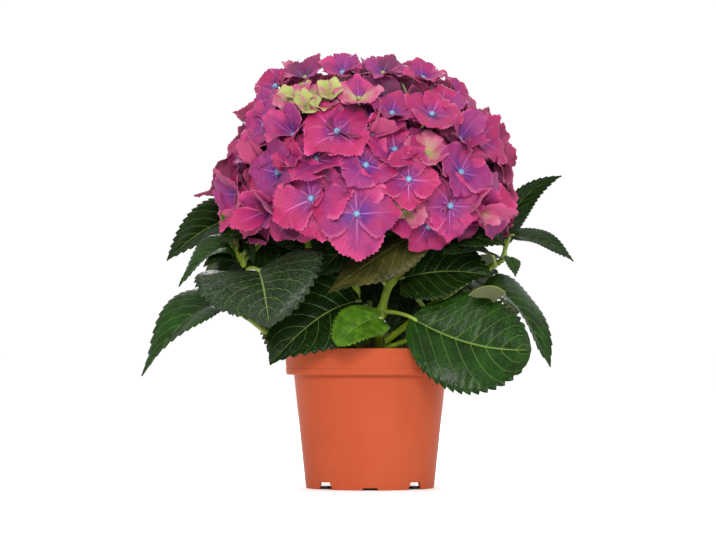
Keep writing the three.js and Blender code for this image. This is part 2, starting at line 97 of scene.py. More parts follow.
SHOOTS = {
    "leaves_middle": {
        "stem": [(8, -28, 140), (16, -34, 166), (26, -36, 177), (40, -34, 190)],
        "radii": (3.4, 2.8),
        "leaves": [
            new_leaf(0.06, (9, -64, 138), (-26, -97, 116), 38, 6, 0.5, (-12, 26), 0.16, FRESH,
                     fold=4, taper=0.55),
            new_leaf(0.06, (32, -60, 139), (127, -86, 113), 86, -8, 0.5, (2, 20), -0.04, MID,
                     fold=4, taper=0.5),
            new_leaf(0.5, (40, -54, 208), (-34, -88, 158), 50, 2, 0.5, (-30, 34), 0.12, BRONZE, fold=-18),
        ],
    },
    "leaves_front": {
        "stem": [(-3, -12, 111), (-18, -24, 122), (-24, -30, 134)],
        "radii": (2.2, 1.8),
        "leaves": [
            new_leaf(1, (-8, -34, 152), (-80, -68, 101), 92, 10, 0.45, (-12, 36), 0.15, DEEP),
        ],
    },
    "leaves_left_low": {
        "stem": [(-5, -4, 111), (-44, -8, 121), (-86, -22, 128)],
        "radii": (2.2, 1.8),
        "leaves": [
            new_leaf(1, (-113, -40, 146), (-183, -60, 92), 64, 18, 0.34, (-40, 52), 0, MID),
            new_leaf(0.6, (-82, 18, 150), (-116, 82, 142), 56, 9, 0.45, (-110, 60), 0.1, DEEP),
        ],
    },
    "leaves_left_high": {
        "stem": [(-98, -20, 174), (-104, -20, 184), (-112, -20, 198)],
        "radii": (2.5, 1.8),
        "leaves": [
            new_leaf(0.15, (-89, -72, 176), (-79, -114, 130), 104, 7, 0.5, (-10, 36), 0.36, SILVER, fold=8),
            new_leaf(0.5, (-108, -20, 192), (-155, -34, 164), 40, 12, 0.36, (-50, 42), 0, MID),
        ],
    },
    "leaves_right_low": {
        "stem": [(7, -12, 112), (40, -16, 124), (66, -18, 138), (84, -18, 152)],
        "radii": (2.2, 1.8),
        "leaves": [
            new_leaf(1, (92, -20, 160), (146, -34, 99), 66, 18, 0.46, (60, 42), 0, MID),
            new_leaf(0.9, (107, -70, 158), (78, -86, 155), 25, 6, 0.5, (160, -40), 0, BRONZE, fold=34),
            new_leaf(0.6, (24, -32, 170), (98, -50, 172), 76, 5, 0.5, (0, 42), 0.1, DEEP),
            new_leaf(0.7, (86, 20, 160), (124, 84, 140), 56, 9, 0.45, (110, 60), 0.1, DEEP),
        ],
    },
    "leaves_right_high": {
        "stem": [(98, 4, 180), (105, 3, 184), (112, 2, 189)],
        "radii": (2.5, 1.8),
        "leaves": [
            new_leaf(0.9, (113, 54, 200), (159, 34, 257), 24, 20, 0.06, (24, 10), 0, DEEP),
            new_leaf(0.7, (115, -6, 206), (166, -16, 185), 24, 6, 0.5, (20, 50), 0, DEEP),
            new_leaf(0.5, (112, -34, 188), (117, -46, 172), 15, 2, 0.5, (30, 20), 0, MID),
            new_leaf(0.3, (98, -34, 190), (58, -80, 189), 40, 4, 0.5, (10, 60), 0.1, DEEP),
        ],
    },
    "leaves_back_left": {
        "stem": [(-3, -3, 112), (-28, 34, 138), (-50, 62, 168), (-58, 72, 186)],
        "radii": (2.6, 1.9),
        "leaves": [
            new_leaf(1, (-100, 82, 226), (-168, 26, 187), 44, 9, 0.5, (-24, 4), 0.1, DEEP),
            new_leaf(1, (-88, 76, 188), (-138, 98, 172), 74, 9, 0.45, (-110, 52), 0.1, DEEP),
            new_leaf(0.9, (-58, 96, 190), (-66, 142, 150), 80, 9, 0.45, (190, 44), 0.15, MID),
            new_leaf(0.5, (-52, 66, 146), (-84, 112, 108), 66, 9, 0.45, (205, 40), 0.1, DEEP),
        ],
    },
    "leaves_back": {
        "stem": [(0, 0, 112), (8, 34, 132), (18, 56, 156)],
        "radii": (2.6, 1.9),
        "leaves": [
            new_leaf(1, (14, 84, 168), (0, 142, 130), 78, 9, 0.45, (176, 44), 0.15, MID),
            new_leaf(0.6, (2, 66, 138), (-22, 96, 94), 56, 6, 0.45, (186, 30), 0.1, DEEP),
        ],
    },
    "leaves_back_right": {
        "stem": [(8, -1, 112), (34, 34, 138), (60, 56, 168), (68, 66, 186)],
        "radii": (2.6, 1.9),
        "leaves": [
            new_leaf(1, (74, 72, 186), (98, 118, 150), 62, 9, 0.45, (110, 52), 0.1, DEEP),
            new_leaf(0.9, (66, 92, 188), (78, 138, 148), 80, 9, 0.45, (168, 44), 0.15, MID),
            new_leaf(0.5, (54, 64, 144), (90, 104, 106), 64, 9, 0.45, (150, 40), 0.1, DEEP),
        ],
    },
}

# The rule carried finer: small and shaded leaves on the same shoots, close under the bloom. Most take the
# deep green, which is partly painted shade.
SMALL_LEAVES = {
    "leaves_left_high": [
        new_leaf(0.4, (-82, -2, 204), (-124, -18, 168), 54, 4, 0.5, (-20, 24), 0.1, DEEP),
        new_leaf(0.9, (-108, -26, 194), (-121, -32, 224), 9, 2, 0.5, (-20, 20), 0, FRESH),
        new_leaf(1, (-112, -24, 196), (-116, -34, 220), 8, 2, 0.5, (-30, 10), 0, FRESH),
        new_leaf(0.4, (-100, -30, 200), (-94, -40, 182), 10, 3, 0.5, (0, 20), 0, DEEP),
        new_leaf(0.3, (-106, -24, 184), (-134, -46, 180), 22, 4, 0.5, (-30, 40), 0, DEEP),
        new_leaf(0.6, (-78, -14, 208), (-122, -40, 200), 46, 5, 0.5, (-10, 46), 0.1, DEEP),
        new_leaf(0.3, (-96, -2, 200), (-50, 8, 186), 44, 5, 0.5, (10, 30), 0.1, DEEP),
    ],
    "leaves_middle": [
        new_leaf(0.4, (-34, -40, 214), (-42, -58, 180), 24, 4, 0.5, (-16, 10), 0, DEEP, fold=38),
        new_leaf(0.9, (-2, -22, 206), (-42, -36, 172), 52, 5, 0.5, (-8, 34), 0.1, DEEP),
        new_leaf(0.95, (44, -20, 210), (6, -26, 178), 52, 4, 0.5, (4, 20), 0.1, DEEP),
        new_leaf(0.8, (48, -38, 202), (108, -62, 196), 42, 5, 0.5, (6, 48), 0.1, DEEP),
    ],
    "leaves_back": [
        new_leaf(0.7, (24, 30, 182), (18, 6, 132), 58, 4, 0.5, (4, 14), 0.1, DEEP),
        new_leaf(0.5, (-14, 30, 180), (-34, 4, 132), 60, 4, 0.5, (-6, 14), 0.1, DEEP),
    ],
    "leaves_back_right": [
        new_leaf(0.7, (60, 30, 200), (64, 6, 148), 58, 4, 0.5, (14, 14), 0.1, DEEP),
        new_leaf(0.4, (46, 24, 158), (24, 6, 108), 60, 4, 0.5, (8, 12), 0.1, DEEP),
    ],
    "leaves_back_left": [
        new_leaf(0.7, (-66, 34, 204), (-60, 8, 156), 58, 4, 0.5, (-14, 14), 0.1, DEEP),
    ],
}

HEADS = {
    "head_front": {"middle": (-4, -62, 236), "stalk": [(-12, -30, 190), (-8, -36, 222)]},
    "head_right": {"middle": (60, 0, 262), "stalk": [(40, -34, 190), (52, -14, 226)]},
    "head_left": {"middle": (-60, 2, 268), "stalk": [(-50, 6, 194), (-54, 4, 226)]},
    "head_back": {"middle": (0, 62, 250), "stalk": [(2, 44, 194), (0, 50, 226)]},
}

MOUND = {"height": 232, "across_x": 119, "across_y": 112, "up": 121, "down": 52, "squareness": 2.16}
INSET = 11
FILL = {"count": 92, "lowest_sine": -0.1, "room": 27, "size": 53, "top_size": 38, "turn_step": 137.508,
        "outward": 0.25}

# The florets of the front: x and z of the middle, size, azimuth and elevation of the face, turn, cup, how
# far it stands proud of the mound, and tone.
PINK, ROYAL, ROSE, CRIMSON, MAUVE, DUSK, SHELL, LILAC, GREEN = range(9)
FLORET_COLUMNS = ("x", "z", "size", "faces", "turn", "cup", "proud", "tone")
FLORETS = [dict(zip(FLORET_COLUMNS, row)) for row in (
    (-45, 231, 72, (-14, 8), -22, 6, 5, PINK),
    (-10, 219, 74, (-4, 2), 0, 3, 9, ROYAL),
    (29, 245, 56, (8, 16), 4, 6, 5, CRIMSON),
    (62, 226, 62, (12, 6), 2, 5, 4, ROSE),
    (-42, 262, 60, (-18, 34), 24, 16, 0, ROSE),
    (-26, 282, 66, (-6, 38), 44, 8, 3, PINK),
    (-4, 256, 54, (4, 22), 30, 14, 3, LILAC),
    (-22, 247, 42, (-6, 14), 34, 24, 0, MAUVE),
    (19, 270, 52, (8, 40), 0, 18, -1, CRIMSON),
    (44, 267, 40, (20, 40), 12, 30, -3, SHELL),
    (71, 253, 52, (30, 22), 30, 22, 0, LILAC),
    (27, 222, 38, (6, -6), 20, 30, -9, SHELL),
    (-72, 253, 54, (-40, 14), 8, 20, 0, LILAC),
    (-95, 228, 54, (-56, 0), 6, 10, -1, PINK),
    (93, 227, 58, (52, 0), -6, 12, 0, ROSE),
    (-9, 310, 40, (-6, 54), 0, 26, 1, SHELL),
    (-52, 331, 38, (-26, 56), 20, 30, 0, MAUVE),
    (17, 299, 42, (10, 50), 20, 28, -1, LILAC),
    (48, 298, 50, (26, 40), 34, 20, 1, CRIMSON),
    (-22, 333, 40, (-8, 58), 10, 34, 0, ROSE),
    (10, 334, 38, (4, 60), 30, 30, -1, MAUVE),
    (42, 330, 38, (20, 56), 0, 30, -1, CRIMSON),
    (-76, 326, 40, (-46, 46), 12, 24, 0, CRIMSON),
    (-83, 293, 52, (-52, 20), 30, 18, 0, ROSE),
    (-76, 225, 38, (-40, -6), 45, 58, 0, ROSE),
    (77, 227, 38, (44, -6), 45, 58, 0, SHELL),
    (-64, 219, 56, (-20, -20), 30, 8, -4, ROSE),
    (47, 210, 50, (14, -14), 30, 8, -6, CRIMSON),
    (-60, 282, 40, (-34, 30), 14, 50, 0, ROSE),
    (70, 279, 40, (36, 30), 34, 46, 0, LILAC),
    (-78, 218, 40, (-84, 24), 45, 66, -12, PINK),
    (80, 220, 40, (84, 24), 45, 66, -14, PINK),
    (-89, 265, 30, (-70, 34), 20, 64, -12, ROSE),
    (78, 269, 28, (60, 30), 20, 64, -14, ROSE),
    (-66, 330, 26, (-36, 66), 45, 62, -13, PINK),
    (44, 330, 24, (30, 60), 45, 60, -16, ROSE),
    (2, 284, 32, (60, 40), 45, 60, -4, PINK),
    (59, 312, 36, (40, 44), 24, 26, -4, ROSE),
    (-6, 340, 32, (-4, 66), 45, 34, -10, PINK),
    (-56, 340, 30, (-16, 66), 0, 40, -8, SHELL),
    (26, 338, 32, (10, 66), 20, 34, -10, ROSE),
    # This dusk floret, sunk behind the others, is painted shade in a gap.
    (-38, 332, 44, (-10, 50), 30, 10, -14, DUSK),
    (-83, 308, 38, (-54, 34), 40, 28, -2, LILAC),
    (-60, 257, 30, (-30, 30), 10, 58, -4, PINK),
)]
# The youngest florets stand in a small spiral round x and z, and face left and right in turns.
YOUNG = {"x": -50, "z": 308, "count": 10, "spread": 6.9, "size": 26, "cup": 28, "proud": 2,
         "azimuths": (-45, -23, -1), "elevations": (34, 50)}

YOUNG_CUPS = (-16, 8, 22, -8, 14, 0)
YOUNG_TONES = (GREEN, GREEN, GREEN, SHELL, GREEN, GREEN)
# Florets behind the others, which close the gaps between them. Their darker tones are painted shade in the
# gaps.
INNER = {"count": 110, "lowest_sine": -0.12, "deeper": 12, "size": 50, "top_size": 44, "turned": 60,
         "cup": 24}
INNER_SHADE_TONES = (DUSK, MAUVE, DUSK, CRIMSON)

# What is added to the cup of the rule's florets, in degrees, one number for each of their shapes.
SHAPE_CUPS = (-12, -8, -4, 0, 2, 6, 10, 16)
FILL_SHAPES = len(SHAPE_CUPS)
FILL_CUP = 18
FILL_TONES = {PINK: 0.13, ROYAL: 0.1, ROSE: 0.13, CRIMSON: 0.2,
              MAUVE: 0.18, DUSK: 0.1, SHELL: 0.05, LILAC: 0.11}
# The tones that single sepals of a floret may take instead of its own.
NEAR_TONES = {PINK: (ROSE, CRIMSON), ROYAL: (CRIMSON, LILAC, ROSE), ROSE: (PINK, LILAC),
              CRIMSON: (ROYAL, PINK), MAUVE: (DUSK, ROYAL, LILAC), DUSK: (MAUVE, LILAC),
              SHELL: (ROSE, SHELL), LILAC: (ROYAL, ROSE, MAUVE), GREEN: (GREEN, SHELL)}
# How far a ruled floret's face sways, how much the top sinks in, how far the mound leans for its height,
# and the turn, in degrees, from one floret to the next about their own axes.
FACE_SWAY = 0.28
TOP_SINK = 4
LEAN = -0.075
FLORET_TURN = 37
# Two deep gaps between the florets, as place and radius, where only the dark middle, painted shade, shows.
CAVITIES = (((-99, -58, 243), 13), ((93, -70, 249), 13))


# ---- Small sums ----

# The end of the range that phases are drawn from, in radians.
LAST_PHASE = 6.28
PATH_STEPS = 24


def colour(red, green, blue):
    """A screen colour, 0 to 255, as linear numbers."""
    def linear(value):
        share = value / 255
        return share / 12.92 if share <= 0.04045 else ((share + 0.055) / 1.055) ** 2.4

    return (linear(red), linear(green), linear(blue))


def look(faces):
    """The direction that an azimuth and an elevation in degrees look to."""
    azimuth, elevation = (math.radians(angle) for angle in faces)
    level = math.cos(elevation)
    return np.array((math.sin(azimuth) * level, -math.cos(azimuth) * level, math.sin(elevation)))


def unit(vectors):
    """Vectors made one long."""
    return vectors / np.maximum(np.linalg.norm(vectors, axis=-1, keepdims=True), 1e-9)


def smooth_path(points, count):
    """Evenly spaced places on a centripetal Catmull-Rom curve through the points."""
    knots = np.array(points, float)
    padded = np.vstack((2 * knots[0] - knots[1], knots, 2 * knots[-1] - knots[-2]))
    fine = []
    for a, b, c, d in zip(padded, padded[1:], padded[2:], padded[3:]):
        times = np.cumsum([0] + [np.linalg.norm(q - p) ** 0.5 + 1e-9 for p, q in ((a, b), (b, c), (c, d))])
        for time in np.linspace(times[1], times[2], PATH_STEPS, endpoint=False):
            def between(p, q, start, end):
                return p + (q - p) * (time - start) / (end - start)

            first = [between(p, q, times[i], times[i + 1])
                     for i, (p, q) in enumerate(((a, b), (b, c), (c, d)))]
            second = [between(first[i], first[i + 1], times[i], times[i + 2]) for i in range(2)]
            fine.append(between(second[0], second[1], times[1], times[2]))
    fine = np.vstack((fine, knots[-1]))
    along = np.concatenate(([0], np.cumsum(np.linalg.norm(np.diff(fine, axis=0), axis=1))))
    steps = np.linspace(0, along[-1], count)
    return np.stack([np.interp(steps, along, fine[:, axis]) for axis in range(3)], axis=1)


def rib_of(leaf, along):
    """Points and headings of a leaf's midrib."""
    start, end = np.array(leaf["base"], float), np.array(leaf["tip"], float)
    control = start + (end - start) * leaf["lead"] + np.array((0, 0, 2 * leaf["arch"]))
    t = np.asarray(along)[..., None]
    points = (1 - t) ** 2 * start + 2 * t * (1 - t) * control + t**2 * end
    headings = 2 * (1 - t) * (control - start) + 2 * t * (end - control)
    return points, unit(headings)


# ---- Mesh making ----


class Skin:
    """Vertices, faces and bake coordinates gathered for one mesh."""

    def __init__(self):
        self.points, self.faces, self.coords = [], [], []
        self.count = 0

    def add(self, points, groups, coords=()):
        """Adds points in mm, groups of faces as rows of indices, and a pair for each face corner."""
        self.points.append(np.asarray(points, float))
        for rows in groups:
            self.faces.extend((np.asarray(rows) + self.count).tolist())
        self.coords.extend(np.asarray(pairs, float).reshape(-1, 2) for pairs in coords)
        self.count += len(points)

    def mesh(self, name):
        """The gathered faces as a smooth mesh in metres."""
        made = bpy.data.meshes.new(name)
        made.from_pydata((np.vstack(self.points) * MM).tolist(), [], self.faces)
        if self.coords:
            layer = made.uv_layers.new(name=BAKE_UV)
            layer.data.foreach_set("uv", np.vstack(self.coords).astype(np.float32).ravel())
        made.validate()
        made.polygons.foreach_set("use_smooth", [True] * len(made.polygons))
        return made


def new_piece(name, mesh, material, slot, *nodes):
    """A finished piece: it rides on the body and replaces its CAD nodes. Its slot is not used."""
    piece = bpy.data.objects.new(name, mesh)
    bpy.context.scene.collection.objects.link(piece)
    mesh.materials.clear()
    mesh.materials.append(material)
    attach(piece, "root")
    if nodes:
        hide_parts(*nodes)
    return piece


def grid_shell(skin, upper, thickness, outward, upper_uv, lower_uv):
    """Adds a closed thin shell over a grid of points, with one patch of coordinates for each side."""
    rows, columns = upper.shape[:2]
    count = rows * columns
    normals = unit(np.cross(np.gradient(upper, axis=1), np.gradient(upper, axis=0)))
    index = np.arange(count).reshape(rows, columns)
    quad = np.stack((index[:-1, :-1], index[:-1, 1:], index[1:, 1:], index[1:, :-1]), axis=-1).reshape(-1, 4)
    loop = np.concatenate((index[0], index[1:, -1], index[-1, -2::-1], index[-2:0:-1, 0]))
    following = np.roll(loop, -1)
    rim = np.stack((following, loop, loop + count, following + count), axis=-1)
    if np.sum(normals * outward) < 0:
        normals, quad, rim = -normals, quad[:, ::-1], rim[:, ::-1]
    lower = upper - normals * thickness[..., None]
    top_uv, low_uv = upper_uv.reshape(-1, 2), lower_uv.reshape(-1, 2)
    skin.add(np.vstack((upper.reshape(-1, 3), lower.reshape(-1, 3))), (quad, quad[:, ::-1] + count, rim),
             (top_uv[quad], low_uv[quad[:, ::-1]], top_uv[rim % count]))


def tube(skin, centres, radii, sides, dents=None):
    """Adds a closed round tube along the centres. dents(ring, side angles) gives a share of extra radius."""
    ahead = unit(np.gradient(centres, axis=0))
    side = np.array((1.0, 0.2, 0.0))
    turns = np.linspace(0, 2 * math.pi, sides, endpoint=False)
    rings = []
    for i, (centre, heading) in enumerate(zip(centres, ahead)):
        side = unit(side - heading * np.dot(side, heading))
        other = np.cross(heading, side)
        radius = (radii[i] * (1 + (dents(i, turns) if dents else 0 * turns)))[:, None]
        rings.append(centre + radius * (np.cos(turns)[:, None] * side + np.sin(turns)[:, None] * other))
    count = len(centres)
    points = np.vstack(rings + [centres[:1], centres[-1:]])
    index = np.arange(count * sides).reshape(count, sides)
    after = np.roll(index, -1, axis=1)
    quads = np.stack((index[:-1], after[:-1], after[1:], index[1:]), axis=-1).reshape(-1, 4)
    first, last = count * sides, count * sides + 1
    caps = [(after[0, i], index[0, i], first) for i in range(sides)]
    caps += [(index[-1, i], after[-1, i], last) for i in range(sides)]
    skin.add(points, (quads, caps))


# ---- Node trees ----


class Tree:
    """Short calls that add nodes to one tree and link them."""

    def __init__(self, tree):
        self.tree = tree

    def node(self, kind, inputs=(), **settings):
        made = self.tree.nodes.new(kind)
        for name, value in settings.items():
            setattr(made, name, value)
        for name, value in dict(inputs).items():
            self.put(made.inputs[name], value)
        return made

    def put(self, socket, value):
        if isinstance(value, bpy.types.NodeSocket):
            self.tree.links.new(value, socket)
        else:
            socket.default_value = value

    def math(self, operation, *values):
        made = self.node("ShaderNodeMath", operation=operation)
        for socket, value in zip(made.inputs, values):
            self.put(socket, value)
        return made.outputs[0]

    def times(self, first, second):
        return self.math("MULTIPLY", first, second)

    def noise(self, place, scale, detail):
        cloud = self.node("ShaderNodeTexNoise", {"Vector": place, "Scale": scale, "Detail": detail})
        return cloud.outputs[0]

    def step(self, value, low, high, to_low=0.0, to_high=1.0):
        """A soft step from to_low to to_high while value goes from low to high."""
        made = self.node("ShaderNodeMapRange", interpolation_type="SMOOTHSTEP")
        for socket, number in zip(made.inputs, (value, low, high, to_low, to_high)):
            self.put(socket, number)
        return made.outputs[0]

    def mix(self, share, first, second, blend="MIX"):
        made = self.node("ShaderNodeMix", data_type="RGBA", blend_type=blend)
        for socket, value in ((made.inputs[0], share), (made.inputs[6], first), (made.inputs[7], second)):
            if not isinstance(value, (bpy.types.NodeSocket, float, int)):
                value = (*tuple(value)[:3], 1.0)
            self.put(socket, value)
        return made.outputs[2]

    def tints(self, position, colours):
        """Flat colours, one after another, picked by a position from 0 to 1."""
        ramp = self.node("ShaderNodeValToRGB", {"Fac": position})
        ramp.color_ramp.interpolation = "CONSTANT"
        elements = ramp.color_ramp.elements
        while len(elements) < len(colours):
            elements.new(0.5)
        for i in range(len(colours)):
            elements[i].position = i / len(colours)
        for element, tone in zip(elements, colours):
            element.color = (*tuple(tone)[:3], 1.0)
        return ramp.outputs[0]


def new_material(name, roughness, **sockets):
    """A material with its node tree and its shader, whose plain sockets are set here."""
    material = bpy.data.materials.new(name)
    material.use_nodes = True
    nodes = Tree(material.node_tree)
    shader = material.node_tree.nodes["Principled BSDF"]
    shader.inputs["Roughness"].default_value = roughness
    for socket, value in sockets.items():
        shader.inputs[socket.replace("_", " ")].default_value = value
    return material, nodes, shader


def add_bump(nodes, shader, height, strength, distance):
    """Feeds a height to the shader's normal."""
    bump = nodes.node("ShaderNodeBump", {"Height": height, "Strength": strength, "Distance": distance})
    nodes.put(shader.inputs["Normal"], bump.outputs[0])


# The bake coordinates hold the tones as a square of tiles, each with its front beside its back.
TILE_MARGIN = 0.02
LEAF_TILES = 3
SEPAL_TILES = 3


def tile_parts(nodes, tiles):
    """From the bake coordinates: tone from 0 to 1, back or not, place across from -1 to 1, place along."""
    place = nodes.node("ShaderNodeSeparateXYZ",
                       {"Vector": nodes.node("ShaderNodeUVMap", uv_map=BAKE_UV).outputs[0]})
    wide = nodes.times(place.outputs[0], 2.0 * tiles)
    tall = nodes.times(place.outputs[1], float(tiles))
    column = nodes.math("FLOOR", nodes.times(place.outputs[0], float(tiles)))
    row = nodes.math("FLOOR", tall)
    count = nodes.math("ADD", nodes.math("MULTIPLY_ADD", row, float(tiles), column), 0.5)
    tone = nodes.math("DIVIDE", count, float(tiles * tiles))
    back = nodes.math("GREATER_THAN", nodes.math("FRACT", nodes.times(wide, 0.5)), 0.5)
    spread = 1 / (1 - 2 * TILE_MARGIN)
    across = nodes.times(nodes.math("MULTIPLY_ADD", nodes.math("FRACT", wide), 2.0, -1.0), spread)
    along = nodes.math("MULTIPLY_ADD", nodes.math("FRACT", tall), spread, -TILE_MARGIN * spread)
    return tone, back, across, along


def tile_coords(tiles, tone, side, across, along):
    """The bake coordinates of points on one side (0 front, 1 back) of a piece of one tone."""
    room = 1 - 2 * TILE_MARGIN
    within = TILE_MARGIN + room * (0.5 + 0.5 * np.clip(across, -1, 1))
    height = TILE_MARGIN + room * np.clip(along, 0, 1)
    return np.stack((tone % tiles / tiles + (side + within) / (2 * tiles), (tone // tiles + height) / tiles),
                    axis=-1)


# ---- Leaves ----

SIDE_VEINS = 8
VEIN_RISE = 0.34
VEIN_BEND = 1.1
TEETH = 18
SMALL_TEETH = 10
SMALL_BREADTH = 24
# Where the points of one tooth are along the edge, as shares of its pitch, and how far they stand out.
TOOTH_PLACES = (0, 0.4, 0.82)
TOOTH_HEIGHTS = (0, 0.6, 1)
LEAF_COLUMNS = np.array((0, 0.05, 0.16, 0.34, 0.54, 0.74, 0.9, 1.0))
# The blade's relief: shares of its breadth, or millimetres where the name ends in mm.
BLADE = {"fringe": 0.026, "fringe_mm": 0.6, "least_half_mm": 0.5, "sway": 0.045, "quilt_mm": 1.7,
         "quilt_room_mm": 22, "camber": 0.16, "groove_mm": 0.5, "groove_width_mm": 1.2,
         "thick_mm": 0.75, "thinning_mm": 0.5, "thin_mm": 0.28}
STALK_PLACES = 14
STALK_SIDES = 12
STALK_RADII, SMALL_STALK_RADII = (2.0, 1.35), (1.0, 0.7)
STALK_FOOT = 1.35
# Where a stalk ends in its blade, as a share of the blade's length.
STALK_END = 0.06


def ovate(along, taper):
    """Half the breadth of an ovate blade along it, as a share of the widest. A low taper is blunt."""
    widest = 0.5 / (0.5 + taper)
    return (along / widest) ** 0.5 * ((1 - along) / (1 - widest)) ** taper


def leaf_blade(skin, leaf, random):
    """Adds a toothed, veined blade, thin, closed, and gently quilted between its side veins."""
    breadth = leaf["breadth"]
    teeth = SMALL_TEETH if breadth < SMALL_BREADTH else TEETH
    along = np.array([(k + part) / teeth for k in range(teeth) for part in TOOTH_PLACES] + [1])
    tooth = np.array(TOOTH_HEIGHTS * teeth + (0,))
    across = np.concatenate((-LEAF_COLUMNS[:0:-1], LEAF_COLUMNS))
    t, s = np.meshgrid(along, across, indexing="ij")
    size = np.abs(s)
    centres, headings = rib_of(leaf, along)
    face = look(leaf["faces"])
    sides = unit(np.cross(headings, face))
    ups = unit(np.cross(sides, headings))
    length = np.sum(np.linalg.norm(np.diff(centres, axis=0), axis=1))
    half = breadth / 2 * ovate(along, leaf["taper"]) * (1 - 0.1 * along**5)
    half = np.maximum(BLADE["least_half_mm"], half)
    fringe = BLADE["fringe"] * breadth + BLADE["fringe_mm"]
    shown = np.clip(along * 9, 0, 1) * np.clip((1 - along) * 9, 0, 1)
    fold = math.radians(leaf["fold"])
    back = -leaf["sweep"] * length * (1 - along) ** 3 * np.minimum(1, along * 10)
    edge = half[:, None] * size - fringe * 0.6 * size**6 * shown[:, None]
    edge += fringe * (tooth * shown)[:, None] * size**10
    waves = np.sin(t * 8.2 + random.uniform(0, LAST_PHASE) + np.sign(s) * 0.9)
    sway = BLADE["sway"] * breadth * waves * size**2.5 * shown[:, None]
    veins = (t - VEIN_RISE * size**VEIN_BEND) * SIDE_VEINS
    room = np.clip(half[:, None] / BLADE["quilt_room_mm"], 0.2, 1) * (1 - size**5) * np.clip(size * 6, 0, 1)
    quilt = BLADE["quilt_mm"] * room * (np.abs(np.sin(math.pi * veins)) ** 0.7 - 0.45)
    camber = BLADE["camber"] * half[:, None] * size * (1 - size)
    groove = -BLADE["groove_mm"] * np.exp(-((s * half[:, None] / BLADE["groove_width_mm"]) ** 2))
    rise = half[:, None] * size * math.sin(fold) + camber + quilt + groove + sway
    ahead = back[:, None] * size**1.5 + fringe * 0.5 * (tooth * shown)[:, None] * size**10
    points = (centres[:, None] + sides[:, None] * (np.sign(s) * edge * math.cos(fold))[..., None]
              + ups[:, None] * rise[..., None] + headings[:, None] * ahead[..., None])
    thickness = np.maximum(BLADE["thin_mm"], BLADE["thick_mm"] - BLADE["thinning_mm"] * size)
    front, back = (tile_coords(LEAF_TILES, leaf["tone"], side, s, t) for side in (0, 1))
    grid_shell(skin, points, thickness, ups[:, None], front, back)


def stalk_points(leaf, root):
    """The path of a leaf's stalk, from inside its shoot to just inside the blade's base."""
    base = np.array(leaf["base"], float)
    inside, _ = rib_of(leaf, STALK_END)
    bend = (root + base) / 2
    bend[2] += 0.03 * np.linalg.norm(inside - root)
    return smooth_path([root, bend, base, inside], STALK_PLACES)


# How much of each shows on a leaf. gloss is its upper side's roughness, and matt what the under side adds.
LEAF_LOOK = {"side_veins": 0.55, "veins": 0.8, "net": 0.08, "silver": 0.07, "silver_lines": 0.16,
             "under": 0.62, "under_veins": 0.6, "gloss": 0.3, "matt": 0.33, "domes": 0.12}


def leaf_material(looks):
    """Glossy upper side with paler sunken veins, matt and paler under side with raised ones."""
    material, nodes, shader = new_material("leaf_green", 0.4, Specular_IOR_Level=0.11)
    position, back, across, along = tile_parts(nodes, LEAF_TILES)
    size = nodes.math("ABSOLUTE", across)
    bent = nodes.times(nodes.math("POWER", size, VEIN_BEND), VEIN_RISE)
    risen = nodes.math("SUBTRACT", along, bent)
    lines = nodes.math("FRACT", nodes.times(risen, float(SIDE_VEINS)))
    distance = nodes.math("ABSOLUTE", nodes.math("SUBTRACT", lines, 0.5))
    narrow = nodes.math("MULTIPLY_ADD", size, 0.045, 0.43)
    side_veins = nodes.times(nodes.step(distance, narrow, 0.5), LEAF_LOOK["side_veins"])
    midrib = nodes.step(size, 0.024, 0.006)
    veins = nodes.math("MAXIMUM", midrib, side_veins)
    place = nodes.node("ShaderNodeCombineXYZ", {0: nodes.times(across, 1.6),
                                                1: nodes.times(along, 4.2),
                                                2: nodes.times(position, 9.0)}).outputs[0]
    cells = nodes.node("ShaderNodeTexVoronoi", {"Vector": place, "Scale": 8.5}, feature="DISTANCE_TO_EDGE")
    net = nodes.step(cells.outputs["Distance"], 0.09, 0.0)
    cloud = nodes.noise(place, 1.6, 4.0)
    upper = nodes.tints(position, [looks.deep, looks.mid, looks.fresh, looks.bronze, looks.deep,
                                   looks.mid, looks.mid, looks.mid, looks.mid])
    shade = nodes.mix(nodes.step(cloud, 0.3, 0.75), (0.5, 0.58, 0.5), (1.5, 1.4, 1.0))
    body = nodes.mix(1.0, upper, shade, blend="MULTIPLY")
    pale = nodes.mix(0.55, upper, looks.vein)
    topside = nodes.mix(nodes.times(veins, LEAF_LOOK["veins"]), body, pale)
    topside = nodes.mix(nodes.times(net, LEAF_LOOK["net"]), topside, pale)
    # The silvery leaf has the middle tile, and its cast lies over its rim, its outer half and its lines.
    silvery = nodes.math("COMPARE", position, (SILVER + 0.5) / LEAF_TILES**2, 0.02)
    rim = nodes.math("MAXIMUM", nodes.math("POWER", size, 2.0), nodes.step(along, 0.45, 1.0))
    for cast, share in ((rim, "silver"), (nodes.math("MAXIMUM", veins, net), "silver_lines")):
        shown = nodes.times(nodes.times(silvery, cast), LEAF_LOOK[share])
        topside = nodes.mix(shown, topside, looks.silver)
    under = nodes.mix(LEAF_LOOK["under"], upper, looks.under)
    underside = nodes.mix(nodes.times(veins, LEAF_LOOK["under_veins"]), under, looks.vein)
    nodes.put(shader.inputs["Base Color"], nodes.mix(back, topside, underside))
    roughness = nodes.math("MULTIPLY_ADD", back, LEAF_LOOK["matt"], LEAF_LOOK["gloss"])
    nodes.put(shader.inputs["Roughness"], roughness)
    domes = nodes.step(cells.outputs["Distance"], 0.0, 0.3)
    height = nodes.math("SUBTRACT", nodes.times(domes, LEAF_LOOK["domes"]), veins)
    height = nodes.times(height, nodes.math("MULTIPLY_ADD", back, -2.0, 1.0))
    add_bump(nodes, shader, height, 0.6, 0.0008)
    return material


# ---- Florets ----

SEPAL_THICK = 0.32
SEPAL_WIDTH = 1.2
UV_HALF_WIDTH = 0.76
UV_LENGTH = 1.1
# The breadth of a floret that is made once and then placed in many sizes.
MODEL_SIZE = 50
